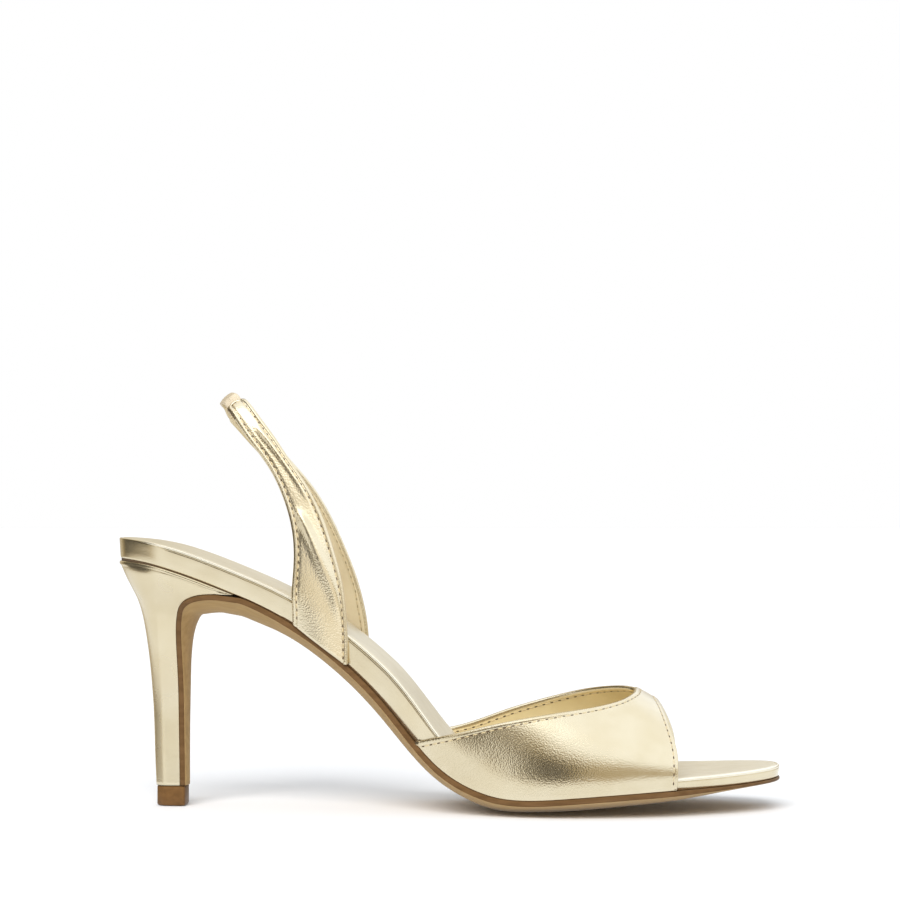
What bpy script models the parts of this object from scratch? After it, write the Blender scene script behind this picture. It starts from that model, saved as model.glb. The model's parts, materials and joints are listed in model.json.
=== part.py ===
"""Slingback sandal with a stiletto heel, the right shoe of a pair, about EU 37.

Run it with blender --background --python part.py, or from Blender's text editor.
The tables are in millimetres. Their x runs from the back of the heel to the toe,
y is negative on the lateral side, and z is the height above the floor.
The scene is in metres, with the origin on the floor under the middle of the shoe.
"""
import math

import bmesh
import bpy
import numpy as np

MM = 0.001
HEEL_END = 0.4          # x of the back of the heel
TOE_END = 220.2         # x of the tip of the toe
AXIS_SHIFT = 0.3        # moves the heel's axis so that the ball lies evenly about the origin
GAP = 0.3               # what two pieces that touch keep between them
SIDE_GAP = 0.5          # and what vamp and sling keep to the insole's curved side and the outsole

HEEL_ROUND = 23.0       # length of the round end of the insole at the heel
HEEL_POWER = 2.0
TOE_ROUND = 42.0        # and at the toe
TOE_POWER = 2.2

SOCK_THICK = 1.2
VAMP_WALL = 1.5
STRAP_WALL = 1.6
ELASTIC_WALL = 1.3
SOLE_EDGE = 1.5         # height of the dark painted edge of the outsole
TOP_PIECE_HIGH = 6.4
TOP_PIECE_FRONT = 23.1
TOP_PIECE_BACK = 13.2
TOP_PIECE_HALF = 4.9    # half width, and the radius of its round back

# Insole seen from above: half width and middle of each section, without the round ends
PLAN = [
    # x, half width, middle
    (0.0, 22.0, 0.0),
    (25.0, 22.0, 0.0),
    (45.0, 21.9, 0.0),
    (60.0, 21.2, -0.2),
    (75.0, 20.7, -0.6),
    (90.0, 21.0, -1.2),
    (100.0, 22.2, -1.8),
    (110.0, 24.4, -2.3),
    (120.0, 27.4, -2.5),
    (130.0, 30.8, -2.3),
    (140.0, 33.7, -1.8),
    (150.0, 35.6, -1.1),
    (160.0, 36.2, -0.3),
    (175.0, 35.0, 1.0),
    (188.0, 32.2, 2.2),
    (200.0, 29.6, 3.2),
    (210.0, 28.4, 4.0),
    (221.0, 27.5, 4.6),
]

# Side view of the underside of the insole, which the outsole follows from the shank on
SEAT = [
    # x, z
    (0.0, 82.5),
    (12.0, 80.9),
    (25.0, 77.2),
    (40.0, 71.4),
    (55.0, 64.4),
    (70.0, 54.8),
    (82.0, 44.8),
    (92.0, 34.4),
    (100.0, 24.7),
    (108.0, 16.0),
    (118.0, 9.4),
    (128.0, 6.1),
    (138.0, 5.4),
    (150.0, 6.1),
    (170.0, 7.6),
    (190.0, 8.9),
    (206.0, 10.2),
    (221.0, 11.3),
]

# Thickness of insole and sock together, at right angles to the seat line
STACK = [
    # x, thickness
    (0.0, 7.0),
    (20.0, 7.3),
    (45.0, 7.3),
    (60.0, 7.5),
    (80.0, 7.9),
    (100.0, 8.3),
    (110.0, 8.0),
    (126.0, 6.0),
    (142.0, 4.4),
    (186.0, 3.8),
    (203.0, 3.4),
    (221.0, 3.3),
]

# How far the outsole stands out past the insole, and how much its tan face is crowned
SOLE_SIDE = [
    # x, margin, crown
    (45.0, 0.3, 3.8),
    (56.0, 0.8, 3.6),
    (70.0, 1.1, 3.7),
    (90.0, 1.3, 3.8),
    (108.0, 1.9, 3.4),
    (118.0, 1.9, 3.7),
    (128.0, 1.9, 4.55),
    (138.0, 1.9, 4.0),
    (150.0, 1.9, 4.6),
    (162.0, 1.9, 4.6),
    (175.0, 1.9, 4.2),
    (186.0, 1.8, 3.65),
    (194.0, 1.1, 3.0),
    (207.0, 0.6, 1.7),
    (214.0, 0.5, 0.8),
    (221.0, 0.4, 0.2),
]

# Heel from its seat down to the top piece: where each section starts and ends, and its half width
HEEL = [
    # front x, front z, back x, back z, half width, bow
    (36.0, 70.6, 1.1, 80.0, 21.2, 1.8),
    (29.5, 70.2, 2.1, 77.8, 20.0, 1.3),
    (25.4, 68.8, 3.4, 75.1, 18.2, 0.8),
    (22.9, 66.7, 4.9, 72.3, 16.0, 0.3),
    (21.7, 63.8, 6.5, 69.0, 13.6, 0.0),
    (21.0, 59.5, 8.1, 64.0, 11.3, 0.0),
    (20.8, 54.0, 9.4, 57.0, 9.3, 0.0),
    (20.9, 47.5, 10.5, 48.8, 7.7, 0.0),
    (21.1, 40.0, 11.3, 40.6, 6.6, 0.0),
    (21.2, 30.0, 12.0, 30.3, 5.8, 0.0),
    (21.3, 18.0, 12.4, 18.0, 5.2, 0.0),
    (21.4, 6.7, 12.9, 6.7, 4.9, 0.0),
]
HEEL_SEAT_START = 0.7   # the heel's seat under the insole, from back to front
HEEL_SEAT_END = 41.5
HEEL_SEAT_INSET = 0.2   # and how far its sides lie inside the insole's
FLAP_LEAVES = 42.9      # x at which the outsole leaves the insole and turns under the heel's seat
HEEL_BACK_ROUND = 0.55  # share of a heel section that its round back takes

CROWN_POWER = 2.2       # the outsole's tan face falls off to its edges by this power
FLAP_START = 58.0       # x from which the outsole bends down towards the front of the heel

# Crown of the outsole's flap on the front of the heel
FLAP_CROWN = [
    # z, crown
    (6.7, 0.5),
    (27.0, 0.7),
    (37.0, 0.9),
    (46.0, 1.2),
    (54.0, 1.8),
    (59.0, 2.5),
    (66.0, 3.6),
    (71.0, 3.9),
]

# Vamp: the crest of the last under it, and the two edges of the throat above the seat line
VAMP_SECTIONS = [
    # x, crest z, crest y
    (98.0, 76.0, 1.0),
    (120.0, 59.5, 2.0),
    (140.0, 49.8, 3.2),
    (155.0, 44.8, 4.0),
    (166.0, 41.4, 4.4),
    (173.3, 39.2, 4.5),
    (180.3, 35.4, 4.2),
    (187.0, 31.2, 3.6),
]
THROAT = [
    # x, lateral z, medial z
    (101.5, 23.2, 23.2),
    (106.0, 24.3, 23.8),
    (112.0, 25.7, 25.0),
    (120.0, 27.7, 27.4),
    (128.0, 29.7, 30.3),
    (139.0, 31.9, 33.7),
    (148.0, 33.4, 36.2),
    (158.0, 34.8, 38.5),
    (165.0, 36.1, 39.5),
    (169.5, 37.4, 39.7),
    (173.3, 39.2, 39.2),
]
VAMP_FRONT = [
    # share of the way from the lateral sole (-1) over the crest (0) to the medial sole (1), x
    (-1.0, 186.0),
    (-0.75, 186.1),
    (-0.6, 184.8),
    (-0.45, 183.3),
    (-0.3, 182.0),
    (-0.13, 180.6),
    (0.0, 180.2),
    (0.2, 181.2),
    (0.45, 183.8),
    (0.75, 186.6),
    (1.0, 187.0),
]

# Sling: edges of the band from the sole to the middle of the back, lateral side
SLING = [
    # back edge x, y, z, front edge x, y, z
    (61.0, -23.1, 70.5, 78.4, -22.9, 69.0),
    (61.6, -22.2, 81.5, 75.3, -22.2, 82.5),
    (60.7, -20.6, 92.3, 71.4, -20.5, 94.2),
    (57.6, -18.6, 102.5, 65.9, -18.3, 105.6),
    (52.7, -16.5, 112.2, 59.4, -16.0, 115.0),
    (47.6, -14.6, 119.0, 53.8, -13.9, 123.0),
    (42.9, -12.4, 125.2, 48.8, -11.6, 129.4),
    (38.4, -9.3, 131.4, 44.2, -8.2, 134.8),
]
SLING_BACK = (34.1, 0.0, 133.0, 38.8, 0.0, 137.5)
# The medial side of the loop leans back by this much at each height
SLING_LEAN = [
    # z, x shift
    (50.0, 3.0),
    (58.0, 2.7),
    (67.0, 1.8),
    (80.0, 0.6),
    (90.0, -0.4),
    (98.0, -1.1),
    (107.0, -1.8),
    (116.0, -2.9),
    (124.0, -4.0),
    (135.0, -4.4),
]
SLING_END = 0.125       # share of the half loop, from the middle of the back, that the elastic takes
SLING_FOOT = (61.2, 79.3)   # x of the band's back and front edge where it meets the sole
SLING_ROOT = (61.1, 68.0, 79.1, 62.0)   # back and front edge just above it, x and z of each
SLING_SLIT = 0.0034     # share of the loop between the elastic and each strap's end

# Rim of a layer of the footbed, and of the outsole: inset, and share of the thickness
LAYER_RIM = [(0.25, 0.0), (0.0, 0.2), (0.0, 0.75), (0.5, 1.0)]
SOLE_RIM = [(0.1, 0.0), (0.0, 0.15), (0.0, 0.85), (0.15, 1.0)]

COLOURS = {
    # material: red, green, blue, roughness, metallic
    "gold_leather": (0.72, 0.60, 0.38, 0.32, 0.85),
    "gold_heel_wrap": (0.72, 0.60, 0.38, 0.28, 0.85),
    "gold_insole_wrap": (0.75, 0.64, 0.43, 0.35, 0.75),
    "cream_gold_sock": (0.82, 0.74, 0.56, 0.45, 0.45),
    "brown_outsole": (0.36, 0.22, 0.11, 0.55, 0.0),
    "brown_top_piece": (0.24, 0.13, 0.06, 0.5, 0.0),
}


def clear_scene():
    for item in list(bpy.data.objects):
        bpy.data.objects.remove(item, do_unlink=True)


def make_collection(name):
    collection = bpy.data.collections.new(name)
    bpy.context.scene.collection.children.link(collection)
    return collection


def make_material(name):
    red, green, blue, roughness, metallic = COLOURS[name]
    material = bpy.data.materials.new(name)
    material.use_nodes = True
    shader = material.node_tree.nodes["Principled BSDF"]
    shader.inputs["Base Color"].default_value = (red, green, blue, 1.0)
    shader.inputs["Roughness"].default_value = roughness
    shader.inputs["Metallic"].default_value = metallic
    material.diffuse_color = (red, green, blue, 1.0)
    return material


def spline(knots, values, at):
    """Natural cubic spline through the values, read at the given places."""
    knots = np.asarray(knots, float)
    values = np.asarray(values, float)
    at = np.atleast_1d(np.asarray(at, float))
    count = len(knots)
    step = np.diff(knots)
    system = np.eye(count)
    right = np.zeros(count)
    for k in range(1, count - 1):
        system[k, k - 1:k + 2] = (step[k - 1], 2 * (step[k - 1] + step[k]), step[k])
        right[k] = 6 * ((values[k + 1] - values[k]) / step[k] - (values[k] - values[k - 1]) / step[k - 1])
    bend = np.linalg.solve(system, right)
    k = np.clip(np.searchsorted(knots, at) - 1, 0, count - 2)
    ahead = knots[k + 1] - at
    behind = at - knots[k]
    cubic = (bend[k] * ahead ** 3 + bend[k + 1] * behind ** 3) / (6 * step[k])
    line = (values[k] / step[k] - bend[k] * step[k] / 6) * ahead
    return cubic + line + (values[k + 1] / step[k] - bend[k + 1] * step[k] / 6) * behind


def column(table, index, at):
    rows = np.array(table, float)
    return spline(rows[:, 0], rows[:, index], at)


def half_width(x):
    """Half width of the insole, closed by a round heel and a soft square toe."""
    body = column(PLAN, 1, x)
    from_heel = np.clip((np.asarray(x) - HEEL_END) / HEEL_ROUND, 0, 1)
    from_toe = np.clip((TOE_END - np.asarray(x)) / TOE_ROUND, 0, 1)
    heel = (1 - (1 - from_heel) ** HEEL_POWER) ** (1 / HEEL_POWER)
    toe = (1 - (1 - from_toe) ** TOE_POWER) ** (1 / TOE_POWER)
    return body * heel * toe


def middle(x):
    return column(PLAN, 2, x) + AXIS_SHIFT


def seat(x):
    return column(SEAT, 1, x)


def seat_slope(x):
    return (seat(np.asarray(x) + 0.05) - seat(np.asarray(x) - 0.05)) / 0.1


def steepness(x):
    """Height of a layer of unit thickness that lies on the slope of the seat line."""
    return np.sqrt(1 + seat_slope(x) ** 2)


def stack_top(x):
    return seat(x) + column(STACK, 1, x) * steepness(x)


def heel_stations(steps):
    """Places of the sections of the round heel, packed towards its back."""
    turn = np.linspace(0, math.pi / 2, steps, endpoint=False)
    return HEEL_END + HEEL_ROUND * (1 - np.cos(turn))


def fore_stations(start, body_steps, toe_steps):
    """Places of the sections from start to the toe, packed towards its tip."""
    toe_start = TOE_END - TOE_ROUND
    body = np.linspace(start, toe_start, body_steps, endpoint=False)
    turn = np.linspace(0, math.pi / 2, toe_steps + 1)
    return np.concatenate([body, toe_start + TOE_ROUND * np.sin(turn)])


def footbed_stations():
    return np.concatenate([heel_stations(7), fore_stations(HEEL_END + HEEL_ROUND, 26, 9)])


def world(points):
    """Table millimetres to scene metres."""
    return (np.asarray(points, float) - ((HEEL_END + TOE_END) / 2, 0, 0)) * MM


def add_object(name, mesh, collection, material):
    item = bpy.data.objects.new(name, mesh)
    collection.objects.link(item)
    mesh.materials.append(material)
    return item


def fill_mesh(name, points, faces):
    """Mesh from a grid's points and faces, with points that coincide made one and faces out."""
    shape = bmesh.new()
    corners = [shape.verts.new(point) for point in points]
    for face in faces:
        shape.faces.new([corners[k] for k in face])
    bmesh.ops.remove_doubles(shape, verts=shape.verts, dist=1e-7)
    bmesh.ops.recalc_face_normals(shape, faces=shape.faces)
    mesh = bpy.data.meshes.new(name)
    shape.to_mesh(mesh)
    shape.free()
    mesh.shade_smooth()
    return mesh


def loft(name, loops, collection, material):
    """Closed body through closed loops of equal length, with a cap on each end."""
    loops = np.asarray(loops)
    rings, sides = loops.shape[:2]
    points = [tuple(p) for p in world(loops).reshape(-1, 3)]
    faces = []
    for ring in range(rings - 1):
        for side in range(sides):
            after = (side + 1) % sides
            low = ring * sides
            high = low + sides
            faces.append((low + side, low + after, high + after, high + side))
    faces.append(tuple(range(sides)))
    faces.append(tuple((rings - 1) * sides + k for k in range(sides)))
    return add_object(name, fill_mesh(name, points, faces), collection, material)


def sheet(name, grid, wall, collection, material):
    """Open surface with a wall on its inner side."""
    rows, columns = grid.shape[:2]
    points = [tuple(p) for p in world(grid).reshape(-1, 3)]
    faces = []
    for row in range(rows - 1):
        for across in range(columns - 1):
            first = row * columns + across
            faces.append((first, first + 1, first + columns + 1, first + columns))
    mesh = bpy.data.meshes.new(name)
    mesh.from_pydata(points, [], faces)
    mesh.shade_smooth()
    item = add_object(name, mesh, collection, material)
    solid = item.modifiers.new("wall", "SOLIDIFY")
    solid.thickness = wall * MM
    solid.offset = -1.0
    solid.use_even_offset = True
    return item


def inset_ways(along, edge_y, side):
    """Unit ways that point into the plan from one of its edges, in path length and y."""
    run = np.gradient(along)
    rise = np.gradient(edge_y)
    length = np.hypot(run, rise)
    ways = np.stack([side * rise / length, -side * run / length], 1)
    return ways


def plate_loops(line, normal, along, low_y, high_y, rim, thickness, columns):
    """Loops of a plate that follows a line in the side view.

    line and normal are the line's points and the plate's way of growing, along is the path length,
    low_y and high_y are the plate's edges, and rim lists the inset and the share of the thickness
    of the points round each edge. thickness gives the plate's depth at a row and a share across,
    from -1 to 1.
    """
    tangent = np.gradient(line, axis=0) / np.gradient(along)[:, None]
    ways = {-1: inset_ways(along, low_y, -1), 1: inset_ways(along, high_y, 1)}
    closed = high_y - low_y < 1e-6
    inward = np.where(along[closed] < along.mean(), 1, -1)
    for way in ways.values():
        way[closed] = inward[:, None] * (1, 0)
    shares = np.linspace(-1, 1, columns + 1)[1:-1]
    loops = []
    for k in range(len(line)):
        rims = {}
        for side, edge_y in ((-1, low_y[k]), (1, high_y[k])):
            way = ways[side][k]
            deep = thickness(k, side)
            rims[side] = [(way[0] * inset, edge_y + way[1] * inset, deep * part) for inset, part in rim]
        across_far = []
        across_near = []
        for share in shares:
            mix = (share + 1) / 2
            for row, corner, depth in ((across_far, -1, thickness(k, share)), (across_near, 0, 0.0)):
                low, high = rims[-1][corner], rims[1][corner]
                shift = low[0] * (1 - mix) + high[0] * mix
                row.append((shift, low[1] * (1 - mix) + high[1] * mix, depth))
        loop = []
        for shift, y, depth in rims[-1] + across_far + rims[1][::-1] + across_near[::-1]:
            x, z = line[k] + tangent[k] * shift + normal[k] * depth
            loop.append((x, y, z))
        loops.append(loop)
    return np.array(loops)


def path_length(line):
    steps = np.hypot(*np.diff(line, axis=0).T)
    return np.concatenate([[0.0], np.cumsum(steps)])


def footbed_layer(bottom_z, top_z):
    """Loops of a layer of the footbed between two heights, given along the footbed's stations."""
    x = footbed_stations()
    high = top_z - bottom_z
    half = half_width(x)

    def thickness(k, share):
        return high[k]

    line = np.stack([x, bottom_z], 1)
    upward = np.tile((0.0, 1.0), (len(x), 1))
    return plate_loops(line, upward, x, middle(x) - half, middle(x) + half, LAYER_RIM, thickness, 4)


def build_insole(collection, material):
    x = footbed_stations()
    loops = footbed_layer(seat(x), stack_top(x) - (SOCK_THICK + GAP) * steepness(x))
    return loft("insole", loops, collection, material)


def build_sock(collection, material):
    x = footbed_stations()
    loops = footbed_layer(stack_top(x) - SOCK_THICK * steepness(x), stack_top(x))
    return loft("sock", loops, collection, material)


def heel_rows():
    """Rows of the heel's table at even steps down its front."""
    table = np.array(HEEL, float)
    along = path_length(table[:, :2])
    at = np.linspace(0, along[-1], 24)
    return np.stack([spline(along, table[:, k], at) for k in range(table.shape[1])], 1)


def sole_line():
    """Side view and edges of the outsole's inner face, from the toe tip to the foot of the heel."""
    x = fore_stations(FLAP_START, 20, 9)[::-1]
    half = half_width(x) + column(SOLE_SIDE, 1, x)
    half[0] = 0.0
    heel = heel_rows()
    seat_x = np.linspace(FLAP_START, FLAP_LEAVES, 6)[1:]
    bend_x = np.concatenate([seat_x, heel[:, 0]])
    bend_z = np.concatenate([seat(seat_x), heel[:, 1]])
    bend_half = np.concatenate([half_width(seat_x) + GAP, heel[:, 4]])
    line = np.stack([np.concatenate([x, bend_x]), np.concatenate([seat(x), bend_z])], 1)
    half = np.concatenate([half, bend_half])
    centre = np.concatenate([middle(x), np.full(len(bend_x), AXIS_SHIFT)])
    return line, half, centre


def build_outsole(collection, material):
    line, half, centre = sole_line()
    along = path_length(line)
    tangent = np.gradient(line, axis=0)
    tangent /= np.hypot(tangent[:, 0], tangent[:, 1])[:, None]
    normal = np.stack([-tangent[:, 1], tangent[:, 0]], 1)
    line = line + normal * GAP
    fore_crown = np.interp(line[:, 0], *np.array(SOLE_SIDE)[:, [0, 2]].T)
    flap_crown = np.interp(line[:, 1], *np.array(FLAP_CROWN).T)
    crown = np.where(line[:, 0] < SOLE_SIDE[0][0], flap_crown, fore_crown)

    def thickness(k, share):
        return SOLE_EDGE + crown[k] * (1 - abs(share) ** CROWN_POWER)

    loops = plate_loops(line, normal, along, centre - half, centre + half, SOLE_RIM, thickness, 8)
    loops[..., 2] = np.maximum(loops[..., 2], 0.0)
    return loft("outsole", loops, collection, material)


def build_heel(collection, material):
    # each section runs from the front along its straight side, then round its back
    straight = np.linspace(0, 1 - HEEL_BACK_ROUND, 5)[:-1]
    turn = np.linspace(0, math.pi / 2, 9)
    share = np.concatenate([straight, 1 - HEEL_BACK_ROUND * (1 - np.sin(turn))])
    side = np.concatenate([np.ones(4), np.cos(turn)])
    seat_x = HEEL_SEAT_START + (HEEL_SEAT_END - HEEL_SEAT_START) * (1 - share)
    seat_half = half_width(seat_x) - HEEL_SEAT_INSET
    seat_half[-1] = 0.0
    sections = [np.stack([seat_x, seat_half, seat(seat_x) - GAP], 1)]
    for front_x, front_z, back_x, back_z, half, bow in heel_rows():
        x = front_x + (back_x - front_x) * share
        z = front_z + (back_z - front_z) * share + bow * 4 * share * (1 - share)
        sections.append(np.stack([x, half * side, z], 1))
    loops = []
    for section in sections:
        lateral = section * (1, -1, 1)
        medial = section[::-1][1:]
        loops.append(np.concatenate([lateral, medial]) + (0, AXIS_SHIFT, 0))
    return loft("heel", loops, collection, material)


def build_top_piece(collection, material):
    turn = np.linspace(-math.pi / 2, math.pi / 2, 13)
    round_x = TOP_PIECE_BACK + TOP_PIECE_HALF * (1 - np.cos(turn))
    x = np.concatenate([round_x, [TOP_PIECE_FRONT, TOP_PIECE_FRONT]])
    y = np.concatenate([np.sin(turn), [1, -1]]) * TOP_PIECE_HALF + AXIS_SHIFT
    loops = [np.stack([x, y, np.full_like(x, z)], 1) for z in (0.0, TOP_PIECE_HIGH)]
    return loft("top_piece", loops, collection, material)


def vamp_half(x, side, samples=60):
    """Section of the last on one side, from the sole up over the side to the crest."""
    edge_y = middle(x)[0] + side * (half_width(x)[0] + SIDE_GAP + VAMP_WALL)
    foot = seat(x)[0] + GAP
    wall_top = stack_top(x)[0] + SIDE_GAP
    crest_z = column(VAMP_SECTIONS, 1, x)[0]
    crest_y = column(VAMP_SECTIONS, 2, x)[0]
    angle = np.linspace(0, math.pi / 2, samples)
    y = crest_y + (edge_y - crest_y) * np.cos(angle) ** 0.95
    z = wall_top + (crest_z - wall_top) * np.sin(angle) ** 0.95
    return np.concatenate([[(edge_y, foot)], np.stack([y, z], 1)])


def vamp_point(x, share):
    """Point of the vamp at a share from the lateral sole (-1) over the crest (0) to the medial (1)."""
    section = vamp_half(np.array([x]), -1 if share < 0 else 1)
    length = path_length(section)
    at = (1 - abs(share)) * length[-1]
    return x, np.interp(at, length, section[:, 0]), np.interp(at, length, section[:, 1])


def throat_shares(side):
    """Share of the section at which the throat's edge crosses it, for a row of x."""
    xs = np.linspace(THROAT[0][0], THROAT[-1][0], 60)
    edge_z = column(THROAT, 1 if side < 0 else 2, xs)
    shares = []
    for x, z in zip(xs, edge_z):
        section = vamp_half(np.array([x]), side)
        length = path_length(section)
        at = np.interp(z, section[:, 1], length)
        shares.append(side * (1 - at / length[-1]))
    shares[-1] = 0.0
    return xs, np.array(shares)


def vamp_grid(around, deep):
    """Grid of the vamp, from the throat to the front edge and from sole to sole."""
    front = np.array(VAMP_FRONT)
    grid = []
    edges = {side: throat_shares(side) for side in (-1, 1)}
    for share in np.linspace(-1, 1, around + 1):
        side = -1 if share < 0 else 1
        xs, shares = edges[side]
        order = np.argsort(shares)
        back_x = np.interp(share, shares[order], xs[order])
        front_x = spline(front[:, 0], front[:, 1], share)[0]
        grid.append([vamp_point(x, share) for x in np.linspace(back_x, front_x, deep + 1)])
    return np.array(grid)


def build_vamp(collection, material):
    return sheet("vamp", vamp_grid(28, 14), VAMP_WALL, collection, material)


def band_edge_y(x, side):
    """Outer face of the sling where it lies on the insole's side."""
    at = np.array([x])
    return (middle(at) + side * (half_width(at) + SIDE_GAP + STRAP_WALL))[0]


def sling_rows():
    """Edge rows of the whole loop, from the lateral sole over the back to the medial sole."""
    back_x, back_z, front_x, front_z = SLING_ROOT
    foot_z = [seat(x)[0] + SIDE_GAP for x in SLING_FOOT]
    lateral = [
        (SLING_FOOT[0], band_edge_y(back_x, -1), foot_z[0], SLING_FOOT[1], band_edge_y(front_x, -1), foot_z[1]),
        (back_x, band_edge_y(back_x, -1), back_z, front_x, band_edge_y(front_x, -1), front_z),
    ]
    lateral.extend(SLING)
    lean = np.array(SLING_LEAN)
    medial = []
    for row in lateral:
        back_lean, front_lean = np.interp([row[2], row[5]], lean[:, 0], lean[:, 1])
        medial.append([row[0] + back_lean, -row[1], row[2], row[3] + front_lean, -row[4], row[5]])
    for row in medial[:2]:
        row[1] = band_edge_y(row[0], 1)
        row[4] = band_edge_y(row[3], 1)
    medial[0][2] = seat(medial[0][0])[0] + SIDE_GAP
    medial[0][5] = seat(medial[0][3])[0] + SIDE_GAP
    return np.array(lateral + [SLING_BACK] + medial[::-1])


def sling_grid(start, end, steps, across):
    """Part of the loop's band between two shares of its length, 0 and 1 at the sole."""
    rows = sling_rows()
    centre = (rows[:, :3] + rows[:, 3:]) / 2
    length = np.concatenate([[0], np.cumsum(np.linalg.norm(np.diff(centre, axis=0), axis=1))])
    length /= length[-1]
    at = np.linspace(start, end, steps + 1)
    edges = np.stack([spline(length, rows[:, k], at) for k in range(6)], 1)
    grid = []
    for mix in np.linspace(0, 1, across + 1):
        grid.append(edges[:, 3:] * (1 - mix) + edges[:, :3] * mix)
    return np.array(grid)


def build_sling(collection, material):
    low = (1 - SLING_END) / 2
    high = (1 + SLING_END) / 2
    elastic = sling_grid(low + SLING_SLIT, high - SLING_SLIT, 10, 4)
    sheet("strap_lateral", sling_grid(0, low, 22, 4), STRAP_WALL, collection, material)
    sheet("strap_medial", sling_grid(high, 1, 22, 4), STRAP_WALL, collection, material)
    sheet("back_elastic", elastic, ELASTIC_WALL, collection, material)


def main():
    clear_scene()
    collection = make_collection("slingback_sandal")
    materials = {name: make_material(name) for name in COLOURS}
    build_outsole(collection, materials["brown_outsole"])
    build_heel(collection, materials["gold_heel_wrap"])
    build_top_piece(collection, materials["brown_top_piece"])
    build_insole(collection, materials["gold_insole_wrap"])
    build_sock(collection, materials["cream_gold_sock"])
    build_vamp(collection, materials["gold_leather"])
    build_sling(collection, materials["gold_leather"])


main()
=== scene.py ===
"""Looks of the slingback sandal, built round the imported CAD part.

The tables are in millimetres. Their x runs from the back of the heel to the toe, y is negative on
the lateral side, and z is the height above the floor. Points become metres in the part's frame when
a mesh is made.
"""
import json
import math

import bmesh
import bpy
import numpy as np
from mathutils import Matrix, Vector
from mathutils.bvhtree import BVHTree

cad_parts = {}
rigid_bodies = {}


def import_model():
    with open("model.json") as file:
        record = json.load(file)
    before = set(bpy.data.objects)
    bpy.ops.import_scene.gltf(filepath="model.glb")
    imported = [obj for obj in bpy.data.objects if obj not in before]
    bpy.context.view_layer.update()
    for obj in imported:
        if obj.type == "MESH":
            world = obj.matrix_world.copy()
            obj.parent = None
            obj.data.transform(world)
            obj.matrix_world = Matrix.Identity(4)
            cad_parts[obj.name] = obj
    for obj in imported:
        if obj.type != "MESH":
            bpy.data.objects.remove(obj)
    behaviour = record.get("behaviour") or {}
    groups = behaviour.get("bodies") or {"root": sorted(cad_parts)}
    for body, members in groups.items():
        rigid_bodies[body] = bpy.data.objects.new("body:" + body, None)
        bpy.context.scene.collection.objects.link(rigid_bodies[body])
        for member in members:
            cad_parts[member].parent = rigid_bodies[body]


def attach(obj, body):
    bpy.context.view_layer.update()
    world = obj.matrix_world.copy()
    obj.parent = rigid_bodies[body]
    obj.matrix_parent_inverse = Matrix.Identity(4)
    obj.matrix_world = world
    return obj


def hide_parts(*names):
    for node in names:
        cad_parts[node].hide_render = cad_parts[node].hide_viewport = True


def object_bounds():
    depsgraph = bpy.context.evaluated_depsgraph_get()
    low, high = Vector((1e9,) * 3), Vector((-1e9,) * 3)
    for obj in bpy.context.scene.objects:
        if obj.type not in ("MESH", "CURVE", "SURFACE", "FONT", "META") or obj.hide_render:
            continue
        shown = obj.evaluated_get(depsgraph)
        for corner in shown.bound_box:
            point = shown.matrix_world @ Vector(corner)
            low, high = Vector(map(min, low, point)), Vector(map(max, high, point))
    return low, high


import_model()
cad_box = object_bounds()

MM = 0.001
WELD = 2e-7             # points closer than this, in metres, are one

HEEL_END = 0.4          # x of the back of the heel
TOE_END = 220.2         # x of the tip of the toe
AXIS_SHIFT = 0.3        # moves the heel's axis so that the ball lies evenly about the origin
GAP = 0.3               # what two pieces that touch keep between them
SIDE_GAP = 0.5          # and what vamp and sling keep to the insole's curved side and the outsole

HEEL_ROUND = 23.0       # length of the round end of the insole at the heel
HEEL_POWER = 2.0
TOE_ROUND = 42.0        # and at the toe
TOE_POWER = 2.2

VAMP_WALL = 1.5
STRAP_WALL = 1.6
ELASTIC_WALL = 1.3
TOP_PIECE_HIGH = 6.4
TOP_PIECE_FRONT = 23.1
TOP_PIECE_BACK = 13.2
TOP_PIECE_HALF = 4.9    # half width, and the radius of its round back

# Insole seen from above: half width and middle of each section, without the round ends
PLAN = [
    # x, half width, middle
    (0.0, 22.0, 0.0),
    (25.0, 22.0, 0.0),
    (45.0, 21.9, 0.0),
    (60.0, 21.2, -0.2),
    (75.0, 20.7, -0.6),
    (90.0, 21.0, -1.2),
    (100.0, 22.2, -1.8),
    (110.0, 24.4, -2.3),
    (120.0, 27.4, -2.5),
    (130.0, 30.8, -2.3),
    (140.0, 33.7, -1.8),
    (150.0, 35.6, -1.1),
    (160.0, 36.2, -0.3),
    (175.0, 35.0, 1.0),
    (188.0, 32.2, 2.2),
    (200.0, 29.6, 3.2),
    (210.0, 28.4, 4.0),
    (221.0, 27.5, 4.6),
]

# Side view of the underside of the insole, which the outsole follows from the shank on
SEAT = [
    # x, z
    (0.0, 82.5),
    (12.0, 80.9),
    (25.0, 77.2),
    (40.0, 71.4),
    (55.0, 64.4),
    (70.0, 54.8),
    (82.0, 44.8),
    (92.0, 34.4),
    (100.0, 24.7),
    (108.0, 16.0),
    (118.0, 9.4),
    (128.0, 6.1),
    (138.0, 5.4),
    (150.0, 6.1),
    (170.0, 7.6),
    (190.0, 8.9),
    (206.0, 10.2),
    (221.0, 11.3),
]

# Thickness of insole and sock together, at right angles to the seat line
STACK = [
    # x, thickness
    (0.0, 7.0),
    (20.0, 7.3),
    (45.0, 7.3),
    (60.0, 7.5),
    (80.0, 7.9),
    (100.0, 8.3),
    (110.0, 8.0),
    (126.0, 6.0),
    (142.0, 4.4),
    (186.0, 3.8),
    (203.0, 3.4),
    (221.0, 3.3),
]

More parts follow.
